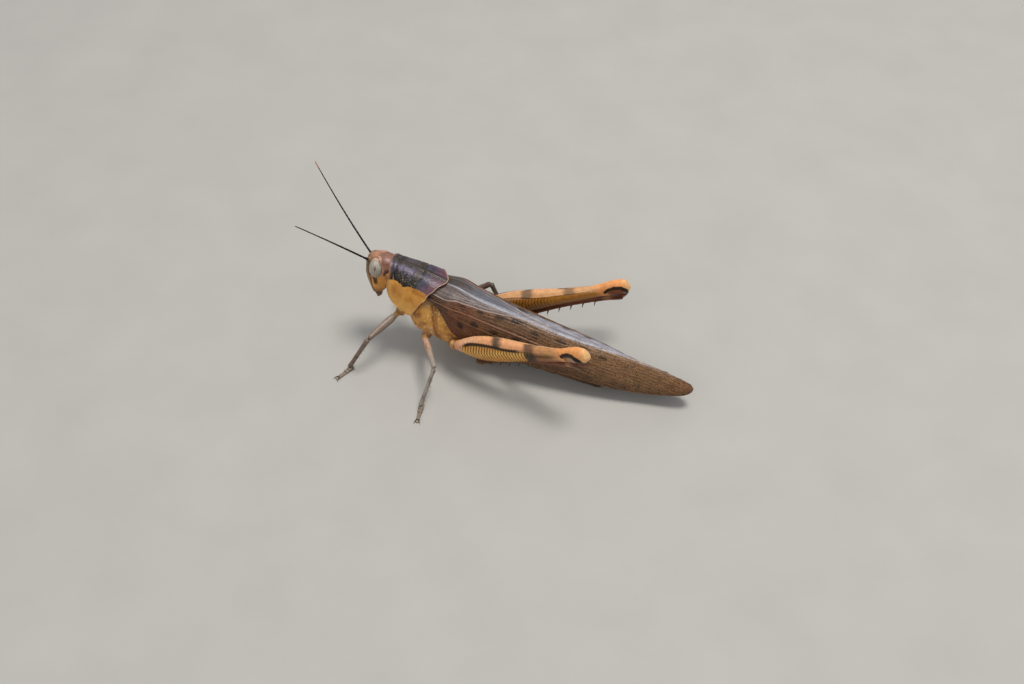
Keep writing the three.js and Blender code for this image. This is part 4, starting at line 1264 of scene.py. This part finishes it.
def hindFemurFinish(length, outer):
    def finish(s, t, p, n):
        c = femurTones
        up, down, out = along(femur["hind"], p.x / length)
        share = p.x / length
        line = along(femur["line"], share)[0]
        low = -0.86 * down
        onOuter = p.y * outer > 0
        apex = even(-0.5, 0.1, fade(0.2, 0.42, share))
        height = 0.0
        field = (
            fade(low, low + 0.25, p.z) * fade(line, line - 0.25, p.z) * fade(0.05, 0.11, share)
            * fade(0.66, 0.58, share)
        )
        lean = 0.14 * max(0, apex - p.z) + 0.42 * max(0, p.z - apex)
        phase = (p.x - lean) / femur["chevron"]
        ridge = 0.5 + 0.5 * math.cos(2 * math.pi * phase)
        spine = hump(p.z, apex, 0.12)
        strength = 1.0 if onOuter else 0.45
        height += strength * field * (0.15 * ridge - 0.12 + 0.05 * spine) * fade(0.57, 0.53, share)
        carinula = hump(p.z, line, 0.13) * fade(0.06, 0.12, share) * fade(0.8, 0.7, share)
        lowKeel = hump(p.z, low, 0.13) * fade(0.05, 0.12, share) * fade(0.8, 0.7, share)
        height += 0.09 * carinula + 0.1 * lowKeel
        topKeel = (
            hump(p.y, 0, 0.16) * (1 if p.z > 0 else 0.8) * fade(0.04, 0.1, share)
            * fade(0.88, 0.82, share)
        )
        teeth = 0.5 + 0.5 * math.cos(p.x * 6.2) if p.z > 0 else 0
        height += (0.12 + 0.03 * teeth) * topKeel
        height += 0.02 * drift(p, 0.5, 3)
        gap = 9.0
        if share > 0.7:
            points = femur["crescent"][outer]
            for (ax, az, aHalf), (bx, bz, bHalf) in zip(points, points[1:]):
                first, second = Vector((length - ax, az)), Vector((length - bx, bz))
                run = second - first
                reach = clamp((Vector((p.x, p.z)) - first).dot(run) / run.length_squared)
                away = (Vector((p.x, p.z)) - first.lerp(second, reach)).length - even(aHalf, bHalf, reach)
                gap = min(gap, away)
        face = fade(0.0, 0.25, abs(p.y))
        arch = fade(0.1, -0.08, gap + 0.07 * drift(p, 0.5, 2)) * face
        cx, cz, wide, tall = femur["inside"][outer]
        fromPad = math.hypot((p.x - length + cx) / wide, (p.z - cz) / tall)
        inside = fade(1.05, 0.85, fromPad) * face
        height += 0.06 * arch - 0.14 * inside + 0.2 * hump(fromPad, 0.25, 0.35) * face

        b1, b2, b3, b4 = femur["bands"]
        fuzz = 0.008 * drift(p, 0.9, 6) + 0.006 * drift(p, 0.25, 8)
        bandOne = fade(b1 - 0.015, b1 + 0.03, share + fuzz) * fade(b2 + 0.02, b2 - 0.03, share + fuzz)
        bandTwo = fade(b3 - 0.01, b3 + 0.02, share + fuzz) * fade(b4 + 0.03, b4 - 0.02, share + fuzz)
        upper = fade(line - 0.05, line + 0.1, p.z)
        if onOuter:
            colour = overlay(
                c["peach"], c,
                ("top", fade(0.1, 0.3, share)),
                ("pale", fade(0.1, 0.03, share)),
                ("smudge", 0.92 * bandOne * upper),
            )
            stripes = overlay(
                c["orange"], c,
                # gold: the yellow of the bars, brightened into a painted highlight along the femur's bulge
                ("gold", 0.8 * hump(p.z, apex - 0.2, 0.9)),
                ("line", fade(0.5, 0.1, ridge) * 0.9),
                ("pale", 0.5 * fade(0.2, 0.1, share) * fade(-0.5, -2.0, p.z)),
            )
            colour = colour.lerp(stripes, (1 - upper) * fade(0.05, 0.1, share) * fade(0.64, 0.56, share))
            far = fade(b4 - 0.03, b4 + 0.03, share) * fade(0.86, 0.74, share + fuzz)
            colour = overlay(
                colour, c,
                ("distal", far * upper * 0.8),
                ("gold", 0.35 * hump(share, 0.72, 0.06) * fade(1.2, 0.4, p.z)),
                (
                    "brown",
                    0.95 * fade(b4 - 0.04, b4, share) * fade(0.84, 0.7, share + fuzz) * hump(p.z, -0.1, 0.85),
                ),
                (
                    "rust",
                    0.8 * fade(b4 - 0.04, b4, share) * fade(0.88, 0.78, share + fuzz) * fade(-0.5, -1.0, p.z),
                ),
            )
            black = (
                fade(0.42, 0.2, abs(p.z - line + 0.08) - 0.08 * ridge) * fade(0.075, 0.12, share)
                * fade(0.56, 0.48, share)
            )
            colour = overlay(
                colour, c,
                ("black", 0.96 * black),
                ("band", bandTwo * (0.8 + 0.15 * fade(0.8, 0.0, p.z))),
            )
        else:
            edge = along([[0, 1.3], [0.2, 1.35], [0.43, 1.15], [0.56, 0.8], [0.8, 0.4], [1, 0.3]], share)[0]
            upper = fade(edge - 0.08, edge + 0.08, p.z)
            colour = c["inner"].lerp(c["innerLow"], fade(-0.4, -2.2, p.z) + 0.4 * fade(0.45, 0.7, share))
            ticks = (
                fade(0.5, 0.15, ridge) * fade(0.12, 0.18, share) * fade(0.52, 0.42, share)
                * fade(-2.6, -1.2, p.z)
            )
            colour = overlay(
                colour, c,
                ("tick", 0.6 * ticks),
                ("innerTop", upper),
                ("smudge", 0.72 * upper * fade(0.29, 0.33, share + fuzz) * fade(0.4, 0.36, share + fuzz)),
                ("smudge", 0.65 * upper * fade(0.56, 0.6, share + fuzz) * fade(0.67, 0.63, share + fuzz)),
            )
        kneeFrom = femur["kneeFrom"]
        knee = fade(kneeFrom - 0.02, kneeFrom + 0.025, share + 0.01 * (p.z + 1))
        kneeColour = c["knee"].lerp(c["kneePale"], fade(0.93, 1.0, share))
        kneeColour = kneeColour.lerp(c["brown"], 0.6 * fade(-0.5, -1.3, p.z))
        colour = colour.lerp(kneeColour, knee)
        middle = c["headTone"] if outer < 0 else c["kneeInner"]
        # Brown ring inside the knee: painted shadow under the knee's arch, around a pale middle
        colour = colour.lerp(c["brown"], 0.8 * inside).lerp(middle, fade(0.85, 0.5, fromPad) * face)
        colour = colour.lerp(c["black"], 0.97 * arch)
        under = fade(low - 0.05, low - 0.3, p.z) * fade(0.8, 0.6, share)
        keelPart = fade(0.1, 0.16, share) * fade(0.64, 0.55, share)
        colour = overlay(
            colour, c,
            ("under", 0.7 * under),
            ("black", hump(p.z, low - 0.1, 0.2) * (0.85 if onOuter else 0.34) * keelPart),
        )
        return height, colour * (1 + 0.16 * drift(p, 0.7, 12)), (0, 0.25 + 0.2 * arch, 0)
    return finish


def smallLegFinish(length, start, end, dark):
    def finish(s, t, p, n):
        height = (
            0.05 * (hump(math.sin(2 * math.pi * t), 1, 0.06) + hump(math.cos(2 * math.pi * t), 0.6, 0.1))
            + 0.02 * drift(p, 0.3)
        )
        colour = start.lerp(end, fade(0.1, 0.8, s))
        spots = fade(0.1, 0.45, drift((p.x * 0.7, p.y, p.z), 0.8, length))
        colour = colour.lerp(dark, 0.45 * spots)
        return height, colour, (0, 0.15, 0)
    return finish


shin = {
    "small": [[0, 0.6, 0.6, 0.55], [0.15, 0.5, 0.5, 0.42], [0.85, 0.45, 0.45, 0.4], [1, 0.5, 0.5, 0.5]],
    "hind": [
        [0, 1.15, 0.9, 0.85], [0.05, 1.0, 0.95, 0.8], [0.12, 0.65, 0.75, 0.6], [0.5, 0.6, 0.65, 0.55],
        [0.92, 0.65, 0.65, 0.62], [1, 0.7, 0.7, 0.75],
    ],
    "kneeDrop": (-0.4, 0, -2.38), "bow": {"left": 0.35, "right": 1.2}, "spines": 9, "first": 0.21,
    "last": 0.946, "long": 1.6, "thick": 0.2,
}
shinTones = tones(
    red=0x753f25, dark=0x38200f, pale=0xb07f55, thorn=0x6b4426, tip=0x0d0704, grey=0x7c6b5d,
    greyDark=0x3f342b, greyPale=0xa28e7c,
)
thornTones = shinTones["thorn"], shinTones["tip"]
coxa = {
    "small": [[0, 1.2, 1.2, 1.2], [0.6, 1.2, 1.2, 1.1], [1, 0.9, 0.9, 0.9]],
    "hind": [[0, 1.5, 1.5, 1.5], [0.6, 1.5, 1.5, 1.4], [1, 1.0, 1.0, 1.0]],
}
foot = {"height": 0.95, "tip": 0.5, "half": 0.55, "claw": 1.2}
footTones = tones(top=0x7a6c5d, pad=0xa59079, joint=0x3d3228, claw=0x1f130b, hindTop=0x8a5a37)
# The far middle leg is painted much darker than the near one, and the far front shin a little darker: painted
# shade
legPalette = {
    "front_left": (femurTones["grey"], tone(0x7e6c5e)), "front_right": (femurTones["grey"], tone(0x76675b)),
    "middle_left": (tone(0xc0967a), tone(0x91877c)), "middle_right": (tone(0x8b8379), tone(0x5a463b)),
}


def coxaFinish(s, t, p, n):
    c = thoraxTones
    height = 0.06 * drift(p, 0.6) - 0.12 * hump(s, 0.72, 0.05)
    colour = c["amber"].lerp(c["grey"], 0.7 * fade(0.35, 0.75, s)).lerp(c["seam"], 0.6 * hump(s, 0.72, 0.04))
    colour = overlay(
        colour, c,
        ("deep", 0.6 * fade(-0.1, 0.4, drift(p, 0.7, 4))),
        ("pale", 0.6 * fade(0.25, 0.5, drift(p, 0.35, 9))),
    )
    return height, colour, (0, 0.25, 0)


def shinFinish(length):
    def finish(s, t, p, n):
        c = shinTones
        colour = overlay(
            c["red"], c,
            ("pale", 0.6 * hump(p.x / length, 0.12, 0.03)),
            ("dark", 0.6 * fade(0.14, 0.0, p.x / length)),
            ("dark", 0.4 * fade(0.0, 0.4, drift((p.x * 0.5, p.y, p.z), 0.8, 3))),
        )
        return 0.02 * drift(p, 0.4) + 0.04 * hump(math.sin(2 * math.pi * t), -1, 0.2), colour, (0, 0.3, 0)
    return finish


def footPlace(length, size):
    def place(s, t):
        end = length - 0.7
        share = crowded(s)
        x = even(-0.6, end, share)
        close = rounded(min((x + 0.6) / 0.5, (end - x) / 0.4))
        notch = 1 - 0.3 * hump(share, 0.34, 0.02) - 0.3 * hump(share, 0.52, 0.02)
        slim = even(1.0, 0.72, fade(0.5, 0.6, share))
        angle = 2 * math.pi * t
        tall = even(foot["height"], foot["tip"], share) * size * slim
        z = tall * (0.5 + 0.5 * close * notch * power(math.sin(angle), 0.8))
        if share > 0.56:
            z += 0.16 * math.sin(math.pi * (share - 0.56) / 0.44) * close
        return Vector((x, close * notch * slim * foot["half"] * size * math.cos(angle), max(0.0, z - 0.1)))
    return place


def footFinish(hind):
    def finish(s, t, p, n):
        c = footTones
        share = crowded(s)
        joint = hump(share, 0.34, 0.02) + hump(share, 0.52, 0.02)
        colour = (c["hindTop"] if hind else c["top"]).lerp(c["pad"], fade(0.3, 0.1, p.z))
        colour = colour.lerp(c["joint"], clamp(0.7 * joint))
        height = 0.02 * drift(p, 0.25) if p.z > 0.12 else 0
        return height, colour, (0, 0.1, 0)
    return finish


def footForm(bm, ankle, toes, size, hind):
    heel, tip = Vector((ankle[0], ankle[1], 0)), Vector((toes[0], toes[1], 0))
    turn, length = aim(heel, tip)
    matrix = legFrame @ turn
    addForm(bm, (56, 24), footPlace(length, size), footFinish(hind), matrix)
    for side in sides.values():
        spike(
            bm, (length - 1.15, side * 0.12, 0.42), (length - 0.02, side * 0.72, 0.06), 0.15,
            (footTones["joint"], footTones["claw"]), 0.22, (10, 8), (0, 0, 1), matrix,
        )
    lobe = limbPlace(0.6, [[0, 0.1, 0.1, 0.14], [0.6, 0.16, 0.14, 0.3], [1, 0.1, 0.1, 0.24]], (0.1, 0.2))
    addForm(
        bm, (10, 12), lobe, evenFinish(footTones["pad"], 0),
        matrix @ Matrix.Translation((length - 1.0, 0, 0.3)),
    )


for name, (root, hip, knee, ankle, toes) in legs.items():
    side = -1 if name.endswith("left") else 1
    hind = name.startswith("hind")
    kind = "hind" if hind else "small"

    coxaMesh = blank()
    turn, length = aim(root, hip)
    addForm(coxaMesh, (34, 36), limbPlace(length, coxa[kind], (1.0, 0.9)), coxaFinish, legFrame @ turn)
    ball = 1.12 if hind else 0.74
    hinge, reach = aim(stepFrom(hip, knee, -0.6), stepFrom(hip, knee, 1.0))
    rows = sized(ball, [[0, 0.8, 0.8, 0.7], [0.5, 1, 1, 0.8], [1, 0.8, 0.8, 0.7]])
    addForm(coxaMesh, (20, 28), limbPlace(reach, rows, (0.5, 0.5)), coxaFinish, legFrame @ hinge)
    makePiece("hip_" + name, coxaMesh, materials["thorax"], ["coxa_" + name])

    thighMesh = blank()
    thighStart = stepFrom(hip, knee, 0.4)
    thighEnd = stepFrom(knee, hip, -1.1) if hind else Vector(knee)
    turn, length = aim(thighStart, thighEnd)
    if hind:
        slim = femur["slim"][side]
        rows = [
            [share, up * even(slim, 1, fade(0.5, 0.85, share)), down, out]
            for share, up, down, out in femur["hind"]
        ]
        place = limbPlace(length, rows, (0.8, 1.4), (0.95, 0.78))
        addForm(thighMesh, (400, 112), place, hindFemurFinish(length, side), legFrame @ turn)
    else:
        start, end = legPalette[name]
        place = limbPlace(length, femur["small"], (0.5, 0.6), (0.85, 0.85))
        addForm(
            thighMesh, (70, 40), place, smallLegFinish(length, start, end, femurTones["greyDark"]),
            legFrame @ turn,
        )
    makePiece("thigh_" + name, thighMesh, materials["femur"], ["femur_" + name])

    shinMesh = blank()
    if hind:
        start = Vector(knee) + Vector(shin["kneeDrop"])
        turn, length = aim(start, ankle)
        bow = shin["bow"][name.split("_")[1]]
        place = limbPlace(length, shin["hind"], (0.6, 0.4), (1.0, 1.0), bow)
        addForm(shinMesh, (150, 32), place, shinFinish(length), legFrame @ turn)
        heel, reach = aim(stepFrom(ankle, start, 0.9), Vector(ankle) + Vector((0.15, 0, -0.75)))
        rows = [[0, 0.6, 0.6, 0.6], [0.5, 0.62, 0.62, 0.66], [1, 0.5, 0.5, 0.55]]
        addForm(
            shinMesh, (18, 24), limbPlace(reach, rows, (0.4, 0.4)), shinFinish(reach * 9), legFrame @ heel
        )
        hinge, reach = aim(Vector(knee) + Vector((0.1, 0, -0.2)), start + Vector((-0.6, 0, -0.3)), (1, 0, 0))
        rows = [[0, 0.9, 0.9, 0.75], [0.5, 1.0, 1.0, 0.8], [1, 0.8, 0.8, 0.7]]
        addForm(
            shinMesh, (26, 28), limbPlace(reach, rows, (0.7, 0.6)), shinFinish(reach * 9),
            legFrame @ hinge,
        )
        for i in range(shin["spines"]):
            x = length * even(shin["first"], shin["last"], i / (shin["spines"] - 1))
            for aside in (-1, 1):
                way = Vector((0.55, aside * 0.5, -1)).normalized()
                lift = bow * math.sin(math.pi * x / length)
                foot0 = Vector((x, aside * 0.25, lift - 0.35))
                tip = Vector((x, aside * 0.2, lift - 0.15)) + way * shin["long"]
                spike(
                    shinMesh, foot0, tip, shin["thick"], thornTones, 0.1, (9, 9), (1, 0, 0),
                    legFrame @ turn,
                )
        for aside in (-1, 1):
            for drop, longer in ((-0.35, 1.5), (0.15, 1.1)):
                tip = Vector((length + 0.55 * longer, aside * 0.85, drop - 0.35 * longer))
                tip.z = max(tip.z, drop - 0.5)
                spike(
                    shinMesh, (length - 0.45, aside * 0.45, drop), tip, 0.17, thornTones, 0.08, (9, 9),
                    (1, 0, 0), legFrame @ turn,
                )
    else:
        start = stepFrom(knee, ankle, 0.25)
        turn, length = aim(start, stepFrom(ankle, start, -0.75))
        colours = legPalette[name]
        finish = smallLegFinish(length, colours[1], colours[1] * 0.85, shinTones["greyDark"])
        addForm(
            shinMesh, (60, 28), limbPlace(length, shin["small"], (0.4, 0.4), (0.9, 0.9)), finish,
            legFrame @ turn,
        )
        for i in range(6):
            for aside in (-1, 1):
                x = length * even(0.3, 0.95, i / 5)
                root0 = Vector((x, aside * 0.25, -0.25))
                spike(
                    shinMesh, root0, root0 + Vector((0.35, aside * 0.3, -0.5)), 0.09,
                    (shinTones["greyPale"], shinTones["tip"]), 0.04, (6, 7), (1, 0, 0), legFrame @ turn,
                )
    makePiece("shin_" + name, shinMesh, materials["shin"], ["tibia_" + name])

    footMesh = blank()
    footForm(footMesh, ankle, toes, 1.1 if hind else 1, hind)
    makePiece("foot_" + name, footMesh, materials["foot"], ["tarsus_" + name])
print("legs made")

# ---- floor, lights and camera ----
stage = {
    "camera": (0.07259, -0.19961, 0.2268), "back": (0.2241, -0.6575, 0.7193), "turn": 18.819, "lens": 50,
    "floor": 6.0, "horizon": 0.19, "zenith": 0.56,
}
floorMesh = bpy.data.meshes.new("floor")
floorShape = bmesh.new()
bmesh.ops.create_grid(floorShape, x_segments=2, y_segments=2, size=stage["floor"] / 2)
floorShape.to_mesh(floorMesh)
floorShape.free()
floor = bpy.data.objects.new("floor", floorMesh)
bpy.context.scene.collection.objects.link(floor)
floorMaterial = bpy.data.materials.new("paleFloor")
floorMaterial.use_nodes = True
floorTree = floorMaterial.node_tree
floorShader = floorTree.nodes["Principled BSDF"]
floorGrain = noiseAt(floorTree, put(floorTree, "TexCoord").outputs["Object"], 60.0, 4.0)
floorColour = mixed(floorTree, floorGrain, (0.36, 0.345, 0.32, 1), (0.42, 0.4, 0.37, 1))
floorTree.links.new(floorColour, floorShader.inputs["Base Color"])
floorShader.inputs["Roughness"].default_value = 0.85
floorMesh.materials.append(floorMaterial)

world = bpy.data.worlds.new("sky")
bpy.context.scene.world = world
world.use_nodes = True
skyTree = world.node_tree
upward = put(skyTree, "SeparateXYZ", None, {0: put(skyTree, "TexCoord").outputs["Generated"]}).outputs[2]
skyTree.nodes["Background"].inputs[0].default_value = (0.86, 0.92, 1.0, 1)
skyLight = ranged(skyTree, upward, 0.0, 0.75, stage["horizon"], stage["zenith"])
skyTree.links.new(skyLight, skyTree.nodes["Background"].inputs[1])

lamps = {
    "overhead": {"at": (0.17, 0.1, 0.75), "size": 0.26, "power": 4.9, "colour": (1.0, 0.97, 0.92)},
    "viewer": {"at": (-0.25, -0.6, 0.45), "size": 0.6, "power": 1.5, "colour": (1.0, 0.96, 0.9)},
    "far": {"at": (-0.3, 0.6, 0.4), "size": 0.5, "power": 0.35, "colour": (0.9, 0.95, 1.0)},
}
for name, values in lamps.items():
    light = bpy.data.lights.new(name, "AREA")
    light.energy, light.size, light.color = values["power"], values["size"], values["colour"]
    lamp = bpy.data.objects.new(name, light)
    lamp.location = values["at"]
    lamp.rotation_euler = (-Vector(values["at"])).to_track_quat("-Z", "Y").to_euler()
    bpy.context.scene.collection.objects.link(lamp)

back = Vector(stage["back"]).normalized()
turn = math.radians(stage["turn"])
right = Vector((math.cos(turn), math.sin(turn), 0))
above = back.cross(right).normalized()
cameraData = bpy.data.cameras.new("camera")
cameraData.lens = stage["lens"]
cameraData.clip_start = 0.01
camera = bpy.data.objects.new("camera", cameraData)
camera.matrix_world = Matrix((
    (right.x, above.x, back.x, stage["camera"][0]),
    (right.y, above.y, back.y, stage["camera"][1]),
    (right.z, above.z, back.z, stage["camera"][2]),
    (0, 0, 0, 1),
))
bpy.context.scene.collection.objects.link(camera)
bpy.context.scene.camera = camera
bpy.context.scene.view_settings.view_transform = "Standard"
print("stage set")
